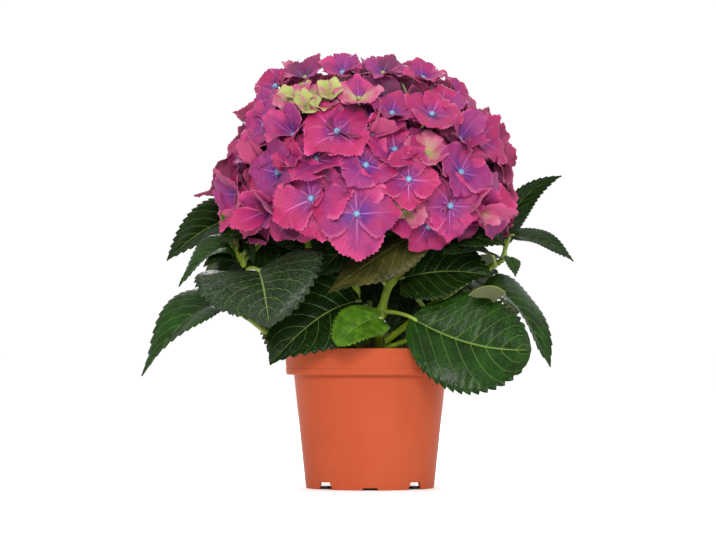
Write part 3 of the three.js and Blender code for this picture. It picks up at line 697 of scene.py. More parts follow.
# Points round a sepal and rings across it, by the kind of floret, and the size from which one is large.
SEPAL_MESH = {"large": (60, 8), "front": (40, 6), "filling": (44, 6), "inner": (16, 4), "young": (28, 5)}
LARGE = 45
# The first seed of each kind's shapes. A shape's own number is added to it.
SHAPE_SEEDS = {"front": 100, "filling": 300, "inner": 500, "young": 700}
# The ranges that a sepal's form is drawn from. All but blunt, the power that rounds its outline, are
# shares of its length. SEPAL_PHASE ends the range of its waves' phases, and INNER_ROUNDING is the power
# that rounds it near the eye.
DRAWN = {"breadth": (0.9, 1.1), "blunt": (1.04, 1.3), "fold": (-0.16, 0.26), "twist": (-0.06, 0.2),
         "curl": (-0.14, 0.44), "ruffle": (0.03, 0.06), "ripple": (0.01, 0.02)}
SEPAL_PHASE = 6
INNER_ROUNDING = 1.55
# A floret's four sepals: how high each starts, in millimetres, and how often one keeps the floret's tone.
SEPAL_LIFTS = (1.1, 0.55, 0.0, 0.55)
OWN_TONE = 0.62
# How much single sepals differ in length, as shares, and in cup and angle, in degrees.
SEPAL_LENGTHS, SEPAL_CUPS, SEPAL_ANGLES = (0.9, 1.06), (-6, 6), (-8, 8)


def reach(directions):
    """How far the mound reaches from its middle along each direction."""
    level = np.hypot(directions[..., 0] / MOUND["across_x"], directions[..., 1] / MOUND["across_y"])
    rise = np.abs(directions[..., 2]) / np.where(directions[..., 2] > 0, MOUND["up"], MOUND["down"])
    power = MOUND["squareness"]
    return (level**power + rise**power) ** (-1 / power)


def on_front(x, z):
    """The point of the mound's front over x and z, drawn in by the florets' inset."""
    power = MOUND["squareness"]
    rise = min(1, abs(z - MOUND["height"]) / (MOUND["up"] if z > MOUND["height"] else MOUND["down"]))
    round_share = (1 - rise**power) ** (1 / power)
    across = math.sqrt(max(0.05, round_share**2 - (x / MOUND["across_x"]) ** 2))
    return np.array((x, INSET - MOUND["across_y"] * across, z))


def spiral(count, lowest_sine, inset, size, top_size, turned, random):
    """Florets on a spiral over the whole mound, each with its own sway, size, tone and shape."""
    tones = list(FILL_TONES)
    found = []
    for i in range(count):
        sine = 1 + (lowest_sine - 1) * (i + 0.5) / count
        direction = look((i * FILL["turn_step"] + turned, math.degrees(math.asin(sine))))
        middle = direction * (reach(direction) - inset - TOP_SINK * max(0, sine) ** 4)
        middle += np.array((LEAN * max(0, middle[2]), 0, MOUND["height"]))
        level = unit(direction * np.array((1, 1, 0)))
        faces = unit(direction + FILL["outward"] * level + random.normal(0, FACE_SWAY, 3))
        found.append(dict(middle=middle, faces=faces, turn=i * FLORET_TURN,
                          size=(size + (top_size - size) * max(0, sine)) * random.uniform(0.92, 1.16),
                          tone=int(random.choice(tones, p=list(FILL_TONES.values()))),
                          shape=int(random.integers(FILL_SHAPES))))
    return [floret for floret in found if not in_cavity(floret["middle"])]


def in_cavity(point):
    """Whether a place is in one of the gaps that stay open."""
    return any(np.linalg.norm(np.array(place) - point) < radius for place, radius in CAVITIES)


def front_florets():
    """The florets that show best, each with its own cup and tone."""
    return [dict(f, middle=on_front(f["x"], f["z"]) + f["proud"] * look(f["faces"]), faces=look(f["faces"]))
            for f in FLORETS]


def filling_florets(taken):
    """The rule's florets, left out where a front floret shows."""
    random = np.random.default_rng(SEEDS["filling"])
    ruled = spiral(FILL["count"], FILL["lowest_sine"], INSET, FILL["size"], FILL["top_size"], 0, random)
    return [floret for floret in ruled
            if all(np.linalg.norm(other["middle"] - floret["middle"]) >= FILL["room"] for other in taken)]


def inner_florets():
    """Florets behind the outer ones, which close the gaps between them, in darker tones that are painted
    shade.
    """
    shaded = spiral(INNER["count"], INNER["lowest_sine"], INSET + INNER["deeper"], INNER["size"],
                    INNER["top_size"], INNER["turned"], np.random.default_rng(SEEDS["inner"]))
    # The darker tones stand in for the shade deep in the mound: painted shade.
    return [dict(floret, tone=INNER_SHADE_TONES[i % 4]) for i, floret in enumerate(shaded)]


def young_florets():
    """Small unopened florets at the top left, where the bloom is youngest."""
    found = []
    for i in range(YOUNG["count"]):
        spread = YOUNG["spread"] * math.sqrt(i)
        turn = math.radians(i * FILL["turn_step"])
        middle = on_front(YOUNG["x"] + spread * math.cos(turn), YOUNG["z"] + 0.6 * spread * math.sin(turn))
        faces = look((YOUNG["azimuths"][i % 3], YOUNG["elevations"][i % 2]))
        found.append(dict(middle=middle + YOUNG["proud"] * faces, faces=faces, size=YOUNG["size"],
                          turn=i * FLORET_TURN))
    return found


def sepal_outline(length, breadth, samples, random):
    """The toothed and uneven edge of a sepal, as directions from its middle and how far it is that way."""
    turns = np.linspace(-math.pi, math.pi, samples, endpoint=False) + math.pi / samples
    power = np.where(np.abs(turns) < math.pi / 2, random.uniform(*DRAWN["blunt"]), INNER_ROUNDING)
    axial, side = np.abs(np.cos(turns) / (0.5 * length)), np.abs(2 * np.sin(turns) / breadth)
    radius = (axial**power + side**power) ** (-1 / power)
    teeth = np.where(np.arange(samples) % 2 == 0, 1.0, -1.0) * np.clip(2.6 - np.abs(turns), 0, 1)
    uneven = (0.024 * np.sin(3 * turns + random.uniform(0, SEPAL_PHASE))
              + 0.016 * np.sin(7 * turns + random.uniform(0, SEPAL_PHASE)))
    return turns, radius + (0.012 * length + 0.2) * teeth + length * uneven


def sepal(skin, length, cup, tone, random, angle, lifted, samples, rings):
    """Adds one broad toothed sepal that leaves the floret's middle at an angle, as a thin closed shell."""
    breadth = SEPAL_WIDTH * length * random.uniform(*DRAWN["breadth"])
    turns, radius = sepal_outline(length, breadth, samples, random)
    shares = np.linspace(0, 1, rings + 1)[1:] ** 0.75
    share = np.concatenate(([0], np.repeat(shares, samples)))
    bearing = np.concatenate(([0], np.tile(turns, rings)))
    x = np.concatenate(([0], (shares[:, None] * radius * np.sin(turns)).ravel()))
    y = np.concatenate(([0], (shares[:, None] * radius * np.cos(turns)).ravel())) + 0.5 * length
    wide, far = 2 * x / breadth, np.clip(y / length, 0, 1.05)
    lift = math.tan(math.radians(cup))
    fold, twist, curl, high = (random.uniform(*DRAWN[kind]) for kind in ("fold", "twist", "curl", "ruffle"))
    ruffle = high * np.sin(random.integers(3, 6) * bearing + random.uniform(0, SEPAL_PHASE))
    ripple = random.uniform(*DRAWN["ripple"])
    ruffle = ruffle + ripple * np.sin(9 * bearing + random.uniform(0, SEPAL_PHASE))
    z = length * (lift * (1.5 * far - 0.5 * far**2) + fold * np.abs(wide) ** 1.6 * far**0.6
                  + twist * wide * far - curl * np.clip(far - 0.45, 0, 1) ** 2 * 1.6 + ruffle * share**2.2)
    z += lifted - 0.3 * np.exp(-((wide / 0.05) ** 2)) * far
    spread = np.arctan2(x, y + 0.04 * length)
    z += 0.16 * np.cos(spread * 17) * far * (1 - 0.4 * far)
    count = len(x)
    ring = np.arange(1, count).reshape(rings, samples)
    after = np.roll(ring, -1, axis=1)
    quads = np.stack((ring[:-1], ring[1:], after[1:], after[:-1]), axis=-1).reshape(-1, 4)
    fan = np.stack((np.zeros(samples, int), ring[0], after[0]), axis=-1)
    rim = np.stack((ring[-1], ring[-1] + count, after[-1] + count, after[-1]), axis=-1)
    turn = math.radians(angle)
    spin = np.array(((math.cos(turn), math.sin(turn)), (-math.sin(turn), math.cos(turn))))
    flat = np.stack((x, y), axis=-1) @ spin.T
    top = np.column_stack((flat, z))
    points = np.vstack((top, top - np.array((0, 0, SEPAL_THICK))))
    inside = (x / (UV_HALF_WIDTH * length), y / (UV_LENGTH * length))
    front, back = (tile_coords(SEPAL_TILES, tone, side, *inside) for side in (0, 1))
    top_fan, top_quads, rim = fan[:, ::-1], quads[:, ::-1], rim[:, ::-1]
    skin.add(points, (top_fan, top_quads, fan + count, quads + count, rim),
             (front[top_fan], front[top_quads], back[fan], back[quads], front[rim % count]))


def floret_shape(name, size, cup, tone, kind, number):
    """A floret of four sepals about its own middle, facing +Z with its first sepal along +Y."""
    random = np.random.default_rng(SHAPE_SEEDS[kind] + number)
    samples, rings = SEPAL_MESH["large" if kind == "front" and size > LARGE else kind]
    skin = Skin()
    for i, lifted in enumerate(SEPAL_LIFTS):
        own = tone if random.uniform() < OWN_TONE else int(random.choice(NEAR_TONES[tone]))
        sepal(skin, size / 2 * random.uniform(*SEPAL_LENGTHS), cup + random.uniform(*SEPAL_CUPS), own,
              random, 90 * i + random.uniform(*SEPAL_ANGLES), lifted, samples, rings)
    return bpy.data.objects.new(name, skin.mesh(name))


def floret_turn(floret):
    """The rotation that brings a floret's shape to its place, as Euler angles."""
    faces = floret["faces"]
    level = unit(np.array((-faces[1], faces[0], 0)))
    upward = np.cross(faces, level)
    place = Matrix(np.column_stack((level, upward, faces)).tolist())
    return (place @ Matrix.Rotation(-math.radians(floret["turn"]), 3, "Z")).to_euler()


def floret_row(floret, grown, shape):
    """Where a floret's shape goes, how it is turned, how much it is grown, and which shape it is."""
    return dict(middle=floret["middle"], turned=floret_turn(floret), grown=grown, shape=shape)


def point_cloud(name, rows):
    """Points with the attributes turned, grown and shape, one for each row."""
    cloud = bpy.data.meshes.new(name)
    cloud.from_pydata([tuple(np.array(row["middle"]) * MM) for row in rows], [], [])
    turned = cloud.attributes.new("turned", "FLOAT_VECTOR", "POINT")
    turned.data.foreach_set("vector", [value for row in rows for value in row["turned"]])
    grown = cloud.attributes.new("grown", "FLOAT", "POINT")
    grown.data.foreach_set("value", [row["grown"] for row in rows])
    shape = cloud.attributes.new("shape", "INT", "POINT")
    shape.data.foreach_set("value", [row["shape"] for row in rows])
    return cloud


def placing_tree():
    """Puts one of a collection's shapes on each point, turned and scaled by the points' attributes."""
    tree = bpy.data.node_groups.new("shapes_on_points", "GeometryNodeTree")
    face = tree.interface
    face.new_socket("Geometry", in_out="INPUT", socket_type="NodeSocketGeometry")
    face.new_socket("Shapes", in_out="INPUT", socket_type="NodeSocketCollection")
    face.new_socket("Finish", in_out="INPUT", socket_type="NodeSocketMaterial")
    face.new_socket("Scale", in_out="INPUT", socket_type="NodeSocketFloat").default_value = 1.0
    face.new_socket("Geometry", in_out="OUTPUT", socket_type="NodeSocketGeometry")
    nodes = Tree(tree)
    start = nodes.node("NodeGroupInput")
    shapes = nodes.node("GeometryNodeCollectionInfo", {"Collection": start.outputs["Shapes"],
                                                       "Separate Children": True, "Reset Children": True})

    def attribute(name, kind):
        named = nodes.node("GeometryNodeInputNamedAttribute", {"Name": name}, data_type=kind)
        return named.outputs["Attribute"]

    turned = nodes.node("FunctionNodeEulerToRotation", {"Euler": attribute("turned", "FLOAT_VECTOR")})
    grown = nodes.times(attribute("grown", "FLOAT"), start.outputs["Scale"])
    placed = nodes.node("GeometryNodeInstanceOnPoints", {
        "Points": start.outputs["Geometry"], "Instance": shapes.outputs[0], "Pick Instance": True,
        "Instance Index": attribute("shape", "INT"), "Rotation": turned.outputs[0], "Scale": grown})
    real = nodes.node("GeometryNodeRealizeInstances", {"Geometry": placed.outputs[0]})
    finish = nodes.node("GeometryNodeSetMaterial", {"Geometry": real.outputs[0],
                                                    "Material": start.outputs["Finish"]})
    nodes.node("NodeGroupOutput", {"Geometry": finish.outputs[0]})
    return tree


def run_tree(tree, mesh, name, **inputs):
    """The plain mesh that a geometry tree makes of a mesh. Its inputs are set by their identifiers."""
    carrier = bpy.data.objects.new(name, mesh)
    bpy.context.scene.collection.objects.link(carrier)
    modifier = carrier.modifiers.new(name, "NODES")
    modifier.node_group = tree
    sockets = (item for item in tree.interface.items_tree if item.in_out == "INPUT")
    identifiers = {item.name: item.identifier for item in sockets}
    for label, value in inputs.items():
        modifier[identifiers[label]] = value
    depsgraph = bpy.context.evaluated_depsgraph_get()
    made = bpy.data.meshes.new_from_object(carrier.evaluated_get(depsgraph))
    carrier.modifiers.remove(modifier)
    bpy.data.objects.remove(carrier)
    made.name = name
    return made


def scatter_shapes(name, rows, shapes, material):
    """One mesh of the shapes placed on the rows, made with the placing tree."""
    folder = bpy.data.collections.new(name + "_shapes")
    bpy.context.scene.collection.children.link(folder)
    for shape in shapes:
        folder.objects.link(shape)
    tree = bpy.data.node_groups.get("shapes_on_points") or placing_tree()
    made = run_tree(tree, point_cloud(name, rows), name, Shapes=folder, Finish=material)
    for shape in shapes:
        bpy.data.objects.remove(shape)
    bpy.data.collections.remove(folder)
    made.polygons.foreach_set("use_smooth", [True] * len(made.polygons))
    return made


# How much of each shows on a sepal, and the angles, in radians, between two rays and between two veins.
SEPAL_LOOK = {"veins": 0.5, "glow": 0.78, "edge": 0.5, "rays": 0.5, "reverse": 0.6, "back_veins": 0.25}
RAY_PITCH, VEIN_PITCH = 0.56, 0.13


def sepal_material(looks):
    """Soft sepals: mottled body, a violet glow round the eye, pale rays, fine veins and a paler edge."""
    material, nodes, shader = new_material("sepal_pink", 0.55, Specular_IOR_Level=0.25, Sheen_Weight=0.05,
                                           Sheen_Roughness=0.4)
    position, back, across, along = tile_parts(nodes, SEPAL_TILES)
    x = nodes.times(across, UV_HALF_WIDTH)
    y = nodes.times(along, UV_LENGTH)
    own = nodes.times(position, 31.0)
    place = nodes.node("ShaderNodeCombineXYZ", {0: x, 1: y, 2: own}).outputs[0]
    cloud = nodes.noise(place, 2.4, 3.0)
    grain = nodes.noise(place, 34.0, 2.0)
    away = nodes.math("SQRT", nodes.math("ADD", nodes.times(x, x), nodes.times(y, y)))
    angle = nodes.math("ARCTAN2", x, nodes.math("ADD", y, 0.01))
    angle = nodes.math("ADD", angle, nodes.times(nodes.math("SUBTRACT", cloud, 0.5), 0.22))

    def lines(pitch, offset):
        """How far a place is from the nearest of the lines that fan out at a pitch of so many radians."""
        turns = nodes.math("FRACT", nodes.math("MULTIPLY_ADD", angle, 1 / pitch, offset))
        gap = nodes.math("ABSOLUTE", nodes.math("SUBTRACT", turns, 0.5))
        return nodes.times(gap, nodes.times(away, pitch))

    near_middle = nodes.step(nodes.math("ABSOLUTE", x), 0.026, 0.002)
    rib = nodes.times(near_middle, nodes.step(away, 0.8, 0.15))
    near_ray = nodes.step(lines(RAY_PITCH, 0.5), 0.022, 0.001)
    rays = nodes.times(near_ray, nodes.step(away, 0.46, 0.08))
    rays = nodes.times(rays, nodes.step(cloud, 0.42, 0.6, 0.2, 0.9))
    rays = nodes.math("MAXIMUM", rib, rays)
    near_vein = nodes.step(lines(VEIN_PITCH, 0.0), 0.02, 0.003)
    veins = nodes.times(near_vein, nodes.step(away, 1.0, 0.35))
    axial = nodes.times(nodes.math("ABSOLUTE", nodes.math("SUBTRACT", y, 0.5)), 2.0)
    side = nodes.math("ABSOLUTE", nodes.times(x, 2 / SEPAL_WIDTH))
    outwards = nodes.math("ADD", nodes.math("POWER", axial, INNER_ROUNDING),
                          nodes.math("POWER", side, INNER_ROUNDING))
    edge = nodes.step(outwards, 0.74, 1.02)
    tones = ((looks.pink, looks.crimson, looks.glow, looks.bold_ray),
             (looks.royal, looks.crimson, looks.deep_glow, looks.ray),
             (looks.rose, looks.royal, looks.glow, looks.ray),
             (looks.crimson, looks.royal, looks.glow, looks.ray),
             # Mauve and dusk are darker copies of the pinks: partly the florets' own older colour, partly
             # painted shade.
             (looks.mauve, looks.royal, looks.dusk_glow, looks.soft_ray),
             (looks.dusk, looks.mauve, looks.dusk_glow, looks.soft_ray),
             (looks.shell, looks.rose, looks.shell_glow, looks.shell_ray),
             (looks.lilac, looks.royal, looks.deep_glow, looks.ray),
             (looks.green, looks.shell, looks.shell_glow, looks.shell_ray))
    body, second, heart, ray = (nodes.tints(position, column) for column in zip(*tones))
    mottled = nodes.mix(nodes.step(cloud, 0.38, 0.66), body, second)
    mottled = nodes.mix(1.0, mottled, nodes.mix(grain, (0.6, 0.5, 0.62), (1.4, 1.5, 1.4)), blend="MULTIPLY")
    front = mottled
    for share, part, turned_to in (("veins", veins, heart), ("glow", nodes.step(away, 0.5, 0.04), heart),
                                   ("edge", edge, looks.reverse), ("rays", rays, ray)):
        front = nodes.mix(nodes.times(part, SEPAL_LOOK[share]), front, turned_to)
    reverse = nodes.mix(SEPAL_LOOK["reverse"], mottled, looks.reverse)
    reverse = nodes.mix(nodes.times(veins, SEPAL_LOOK["back_veins"]), reverse, body)
    nodes.put(shader.inputs["Base Color"], nodes.mix(back, front, reverse))
    height = nodes.math("SUBTRACT", nodes.times(cloud, 0.5), nodes.math("MAXIMUM", rays, veins))
    add_bump(nodes, shader, height, 0.4, 0.0004)
    return material


def spotted_material(name, first, second, scale, roughness, strength=0.3, distance=0.0005, **sockets):
    """A plain finish whose colour and surface vary with noise over the object."""
    material, nodes, shader = new_material(name, roughness, **sockets)
    place = nodes.node("ShaderNodeTexCoord").outputs["Object"]
    cloud = nodes.noise(place, scale, 5.0)
    nodes.put(shader.inputs["Base Color"], nodes.mix(nodes.step(cloud, 0.3, 0.7), first, second))
    add_bump(nodes, shader, cloud, strength, distance)
    return material


# ---- Settings ----


def length(label, description, default, low):
    """A size in millimetres."""
    return FloatProperty(name=label, description=description, default=default, min=low)


def tint(label, description, red, green, blue):
    """A colour, given as it shows on a screen, 0 to 255."""
    return FloatVectorProperty(name=label, description=description, default=colour(red, green, blue),
                               subtype="COLOR", min=0, max=1)


class PotSettings(PropertyGroup):
    """The grower's pot and what it is filled with."""

    wall: length("Wall", "Thickness of the plastic, in mm", 1.6, 0.5)
    rim_height: length("Rim height", "Height of the band at the top, in mm", 21.5, 5)
    foot_radius: length("Foot radius", "Radius on the ground, in mm", 52.3, 20)
    plastic: tint("Plastic", "Colour of the pot", 166, 76, 48)
    plastic_dark: tint("Plastic, shaded", "Colour of the pot's darker flow marks", 160, 70, 43)
    compost: tint("Compost", "Colour of the compost", 40, 27, 22)
    crumbs: IntProperty(name="Crumbs", description="Loose crumbs on the compost", default=1500, min=0)


class StemSettings(PropertyGroup):
    """The woody foot and the green stems."""

    bark: tint("Bark", "Colour of the bark's ridges", 104, 91, 64)
    bark_dark: tint("Bark, furrows", "Colour between the ridges", 56, 45, 31)
    green: tint("Green stem", "Colour of the young stems", 120, 140, 20)
    green_dark: tint("Green stem, shaded", "Second colour of the young stems", 86, 110, 12)
    stalk: tint("Leaf stalks", "Colour of the leaf stalks", 113, 133, 64)


class LeafSettings(PropertyGroup):
    """The leaves."""

    # The deep green is partly painted shade for the leaves under the bloom.
    deep: tint("Deep", "Colour of shaded leaves", 10, 31, 7)
    mid: tint("Middle", "Colour of most leaves", 17, 46, 8)
    fresh: tint("Fresh", "Colour of young leaves", 60, 94, 20)
    bronze: tint("Bronze", "Colour of reddish leaves", 58, 54, 28)
    silver: tint("Silver", "Cast over the edges of the silvery leaf", 103, 113, 97)
    vein: tint("Veins", "Colour that the veins turn to", 142, 170, 84)
    under: tint("Under side", "Colour that under sides turn to", 85, 91, 64)


class BloomSettings(PropertyGroup):
    """The sepals and the florets' eyes."""

    pink: tint("Pink", "Body of the brightest florets", 158, 31, 90)
    crimson: tint("Crimson", "Body of the reddest florets", 146, 27, 74)
    royal: tint("Royal", "Body of the magenta florets", 128, 27, 84)
    rose: tint("Rose", "Body of the rose florets", 158, 40, 93)
    # Mauve and dusk are partly the florets' own older colour and partly painted shade.
    mauve: tint("Mauve", "Body of the shaded florets", 118, 32, 74)
    dusk: tint("Dusk", "Body of the darkest florets", 96, 26, 66)
    shell: tint("Shell", "Body of the palest florets", 165, 91, 116)
    lilac: tint("Lilac", "Body of the bluish florets", 128, 40, 98)
    green: tint("Green", "Body of the unopened florets", 148, 156, 87)
    glow: tint("Glow", "Round the eye of most florets", 87, 27, 98)
    deep_glow: tint("Deep glow", "Round the eye of the magenta florets", 60, 31, 111)
    dusk_glow: tint("Dusk glow", "Round the eye of the shaded florets", 58, 26, 76)
    shell_glow: tint("Shell glow", "Round the eye of the palest florets", 156, 151, 87)
    ray: tint("Rays", "Rays of the open florets", 186, 104, 172)
    bold_ray: tint("Bold rays", "Rays of the brightest florets", 214, 138, 206)
    soft_ray: tint("Soft rays", "Rays of the shaded florets", 133, 121, 127)
    shell_ray: tint("Shell rays", "Rays of the palest florets", 186, 167, 156)
    reverse: tint("Reverse", "Colour that the edges and backs turn to", 186, 88, 126)
    eye: tint("Eye", "Colour of the florets' blue eyes", 112, 150, 184)
    young_eye: tint("Young eye", "Colour of green and unopened eyes", 140, 148, 87)


class StageSettings(PropertyGroup):
    """Floor, light and camera."""

    floor: tint("Floor", "Colour of the floor", 255, 255, 255)
    floor_radius: FloatProperty(name="Floor radius", description="How far the floor reaches", default=30,
                                min=1, subtype="DISTANCE", unit="LENGTH")
    room: FloatProperty(name="Room light", description="Strength of the soft light from all round",
                        default=1.02, min=0)
    lens: FloatProperty(name="Lens", description="Focal length in mm", default=153.5, min=10,
                        subtype="DISTANCE_CAMERA")
    distance: FloatProperty(name="Distance", description="From the pot to the camera", default=2.5, min=0.5,
                            subtype="DISTANCE", unit="LENGTH")


# ---- The pot and the compost ----

POT_LOW, POT_HIGH = (np.array(corner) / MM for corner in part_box("pot"))
POT_HEIGHT = POT_HIGH[2] - POT_LOW[2]
RIM_RADIUS = (POT_HIGH[0] - POT_LOW[0]) / 2
RIM_FOOT_RADIUS = RIM_RADIUS - 2
BODY_TOP_RADIUS = RIM_RADIUS - 7.8
FLOOR_HEIGHT = 6.5
FOOT_BOSS = {"radius": 8, "top_radius": 9}
FOOT_NOTCHES = (
    {"height": 6, "bottom_width": 16, "top_width": 11, "turns": (44, 136, 224, 316)},
    {"height": 1.9, "bottom_width": 13.4, "top_width": 11.4, "turns": (0, 90, 180, 270)},
)
POT_SIDES = 192
ARC_STEPS = 5
SHARP_ANGLE = 32
# The moulded band: how far its lip, its chamfers and its lower bead stand out or lie, in millimetres.
BAND = {"lip": 0.1, "lip_height": 1.2, "draft": 0.15, "lip_drop": 2.6, "groove_top": 5.3, "bead": 0.85,
        "bead_top": 4.9, "bead_foot": 1.3, "land": 0.5, "foot": 0.1}
PLASTIC_WORN = (0.66, 0.26, 0.15)
SOIL = {"edge": 103.0, "middle": 109.0, "flat": 32.0, "sunk": 1.0, "clearance": 0.3,
        "sides": 96, "rings": 30}
SOIL_WAVES = {"count": 14, "height": 0.28, "pitch": (0.05, 0.5)}
# The crumbs: kinds of lump, how rough and flat they are, and the sizes of small ones and of each ninth.
CRUMBS = {"kinds": 6, "rough": (0.6, 1.2), "flat": 0.7, "small": (0.5, 1.7), "large": (1.6, 2.8), "every": 9}


def rounded(corners):
    """A profile of (radius, height, rounding) corners as points, with an arc where one is rounded."""
    found = []
    for i, (radius, height, rounding) in enumerate(corners):
        here = np.array((radius, height), float)
        if rounding == 0 or i in (0, len(corners) - 1):
            found.append(here)
            continue
        before, after = np.array(corners[i - 1][:2], float), np.array(corners[i + 1][:2], float)
        start = here + (before - here) * min(0.5, rounding / np.linalg.norm(before - here))
        end = here + (after - here) * min(0.5, rounding / np.linalg.norm(after - here))
        for t in np.linspace(0, 1, ARC_STEPS):
            found.append((1 - t) ** 2 * start + 2 * t * (1 - t) * here + t**2 * end)
    return found


def lathe(profile, sides):
    """A bmesh turned from a closed profile that starts and ends on the axis."""
    mesh = bmesh.new()
    rings = []
    for radius, height in profile:
        if radius < 1e-6:
            rings.append([mesh.verts.new((0, 0, height * MM))])
            continue
        turns = np.linspace(0, 2 * math.pi, sides, endpoint=False)
        rings.append([mesh.verts.new((radius * MM * math.cos(a), radius * MM * math.sin(a), height * MM))
                      for a in turns])
    for low, high in zip(rings, rings[1:]):
        for i in range(sides):
            j = (i + 1) % sides
            corners = [low[i % len(low)], low[j % len(low)], high[j % len(high)], high[i % len(high)]]
            mesh.faces.new(list(dict.fromkeys(corners)))
    bmesh.ops.recalc_face_normals(mesh, faces=mesh.faces)
    return mesh


def object_of(mesh, name):
    """A scene object of a bmesh, which is freed."""
    made = bpy.data.meshes.new(name)
    mesh.to_mesh(made)
    mesh.free()
    thing = bpy.data.objects.new(name, made)
    bpy.context.scene.collection.objects.link(thing)
    return thing


def settled_mesh(thing, name):
    """The evaluated mesh of an object, which is removed."""
    depsgraph = bpy.context.evaluated_depsgraph_get()
    made = bpy.data.meshes.new_from_object(thing.evaluated_get(depsgraph))
    bpy.data.objects.remove(thing)
    made.name = name
    return made


def block_cutter(corners, start, depth, turn):
    """A prism with a flat outline of (across, height) corners, which cuts inwards from the foot's side."""
    mesh = bmesh.new()
    spin = Matrix.Rotation(math.radians(turn), 3, "Z")
    near = [mesh.verts.new(spin @ Vector((x * MM, -start * MM, z * MM))) for x, z in corners]
    far = [mesh.verts.new(spin @ Vector((x * MM, -(start - depth) * MM, z * MM))) for x, z in corners]
    mesh.faces.new(near)
    mesh.faces.new(far[::-1])
    for i in range(len(corners)):
        j = (i + 1) % len(corners)
        mesh.faces.new((near[j], near[i], far[i], far[j]))
    bmesh.ops.recalc_face_normals(mesh, faces=mesh.faces)
    return object_of(mesh, "cutter")


def sharpen(mesh):
    """Smooth faces, with a sharp edge wherever the surface turns by more than SHARP_ANGLE degrees."""
    work = bmesh.new()
    work.from_mesh(mesh)
    for edge in work.edges:
        edge.smooth = len(edge.link_faces) == 2 and edge.calc_face_angle(0) < math.radians(SHARP_ANGLE)
    for face in work.faces:
        face.smooth = True
    work.to_mesh(mesh)
    work.free()


class HYDRANGEA_OT_pot(Operator):
    """Turns the pot with its banded rim and cuts the notches in its foot"""

    bl_idname = "hydrangea.pot"
    bl_label = "Pot"

    def execute(self, context):
        sizes = context.scene.hydrangea_pot
        wall, shoulder, foot = sizes.wall, POT_HEIGHT - sizes.rim_height, sizes.foot_radius
        slope = (BODY_TOP_RADIUS - foot) / shoulder
        floor = FLOOR_HEIGHT + wall
        corners = [
            (0, floor, 0),
            (foot + slope * floor - wall, floor, 2),
            (BODY_TOP_RADIUS - wall, shoulder - wall, 1),
            (RIM_FOOT_RADIUS - wall, shoulder + wall, 1),
            (RIM_RADIUS - wall, POT_HEIGHT - BAND["lip_height"], 0),
            (RIM_RADIUS - wall + BAND["lip"], POT_HEIGHT, 0.5),
            (RIM_RADIUS, POT_HEIGHT, 0.7),
            (RIM_RADIUS - BAND["draft"], POT_HEIGHT - BAND["lip_drop"], 0.4),
            (RIM_FOOT_RADIUS + BAND["land"], shoulder + BAND["groove_top"], 0.2),
            (RIM_FOOT_RADIUS + BAND["bead"], shoulder + BAND["bead_top"], 0.3),
            (RIM_FOOT_RADIUS + BAND["land"], shoulder + BAND["bead_foot"], 0.4),
            (RIM_FOOT_RADIUS + BAND["foot"], shoulder, 0.6),
            (BODY_TOP_RADIUS, shoulder, 0.8),
            (foot, 0, 0.9),
            (foot - wall, 0, 0.4),
            (foot + slope * FLOOR_HEIGHT - wall, FLOOR_HEIGHT, 1.5),
            (FOOT_BOSS["top_radius"], FLOOR_HEIGHT, 1),
            (FOOT_BOSS["radius"], 0, 0.5),
            (0, 0, 0),
        ]
        pot = object_of(lathe(rounded(corners), POT_SIDES), "pot_turned")
        cutters = []
        for notch in FOOT_NOTCHES:
            low, high = notch["bottom_width"] / 2, notch["top_width"] / 2
            outline = [(-low, -1), (low, -1), (high, notch["height"]), (-high, notch["height"])]
            cutters += [block_cutter(outline, foot + 8, 20, turn) for turn in notch["turns"]]
        for cutter in cutters:
            cut = pot.modifiers.new("cut", "BOOLEAN")
            cut.operation = "DIFFERENCE"
            cut.solver = "EXACT"
            cut.object = cutter
        made = settled_mesh(pot, "pot_shell")
        for cutter in cutters:
            bpy.data.objects.remove(cutter)
        sharpen(made)
        new_piece("grower_pot", made, pot_material(sizes), "pot_plastic", "pot")
        return {"FINISHED"}


def pot_material(looks):
    """Satin moulded plastic with faint flow clouds, fine level scuffs and a very fine grain."""
    material, nodes, shader = new_material("terracotta_plastic", 0.42, Specular_IOR_Level=0.03)
    place = nodes.node("ShaderNodeTexCoord").outputs["Object"]
    clouds = nodes.noise(place, 14.0, 3.0)
    grain = nodes.noise(place, 900.0, 2.0)
    stretched = nodes.node("ShaderNodeMapping", {"Vector": place, "Scale": (60, 60, 900)}).outputs[0]
    scuffs = nodes.noise(stretched, 1.0, 2.0)
    body = nodes.mix(nodes.step(clouds, 0.35, 0.68), looks.plastic_dark, looks.plastic)
    worn = nodes.mix(nodes.times(nodes.step(scuffs, 0.62, 0.8), 0.1), body, PLASTIC_WORN)
    nodes.put(shader.inputs["Base Color"], worn)
    nodes.put(shader.inputs["Roughness"], nodes.math("MULTIPLY_ADD", scuffs, 0.12, 0.36))
    add_bump(nodes, shader, grain, 0.12, 0.0002)
    return material


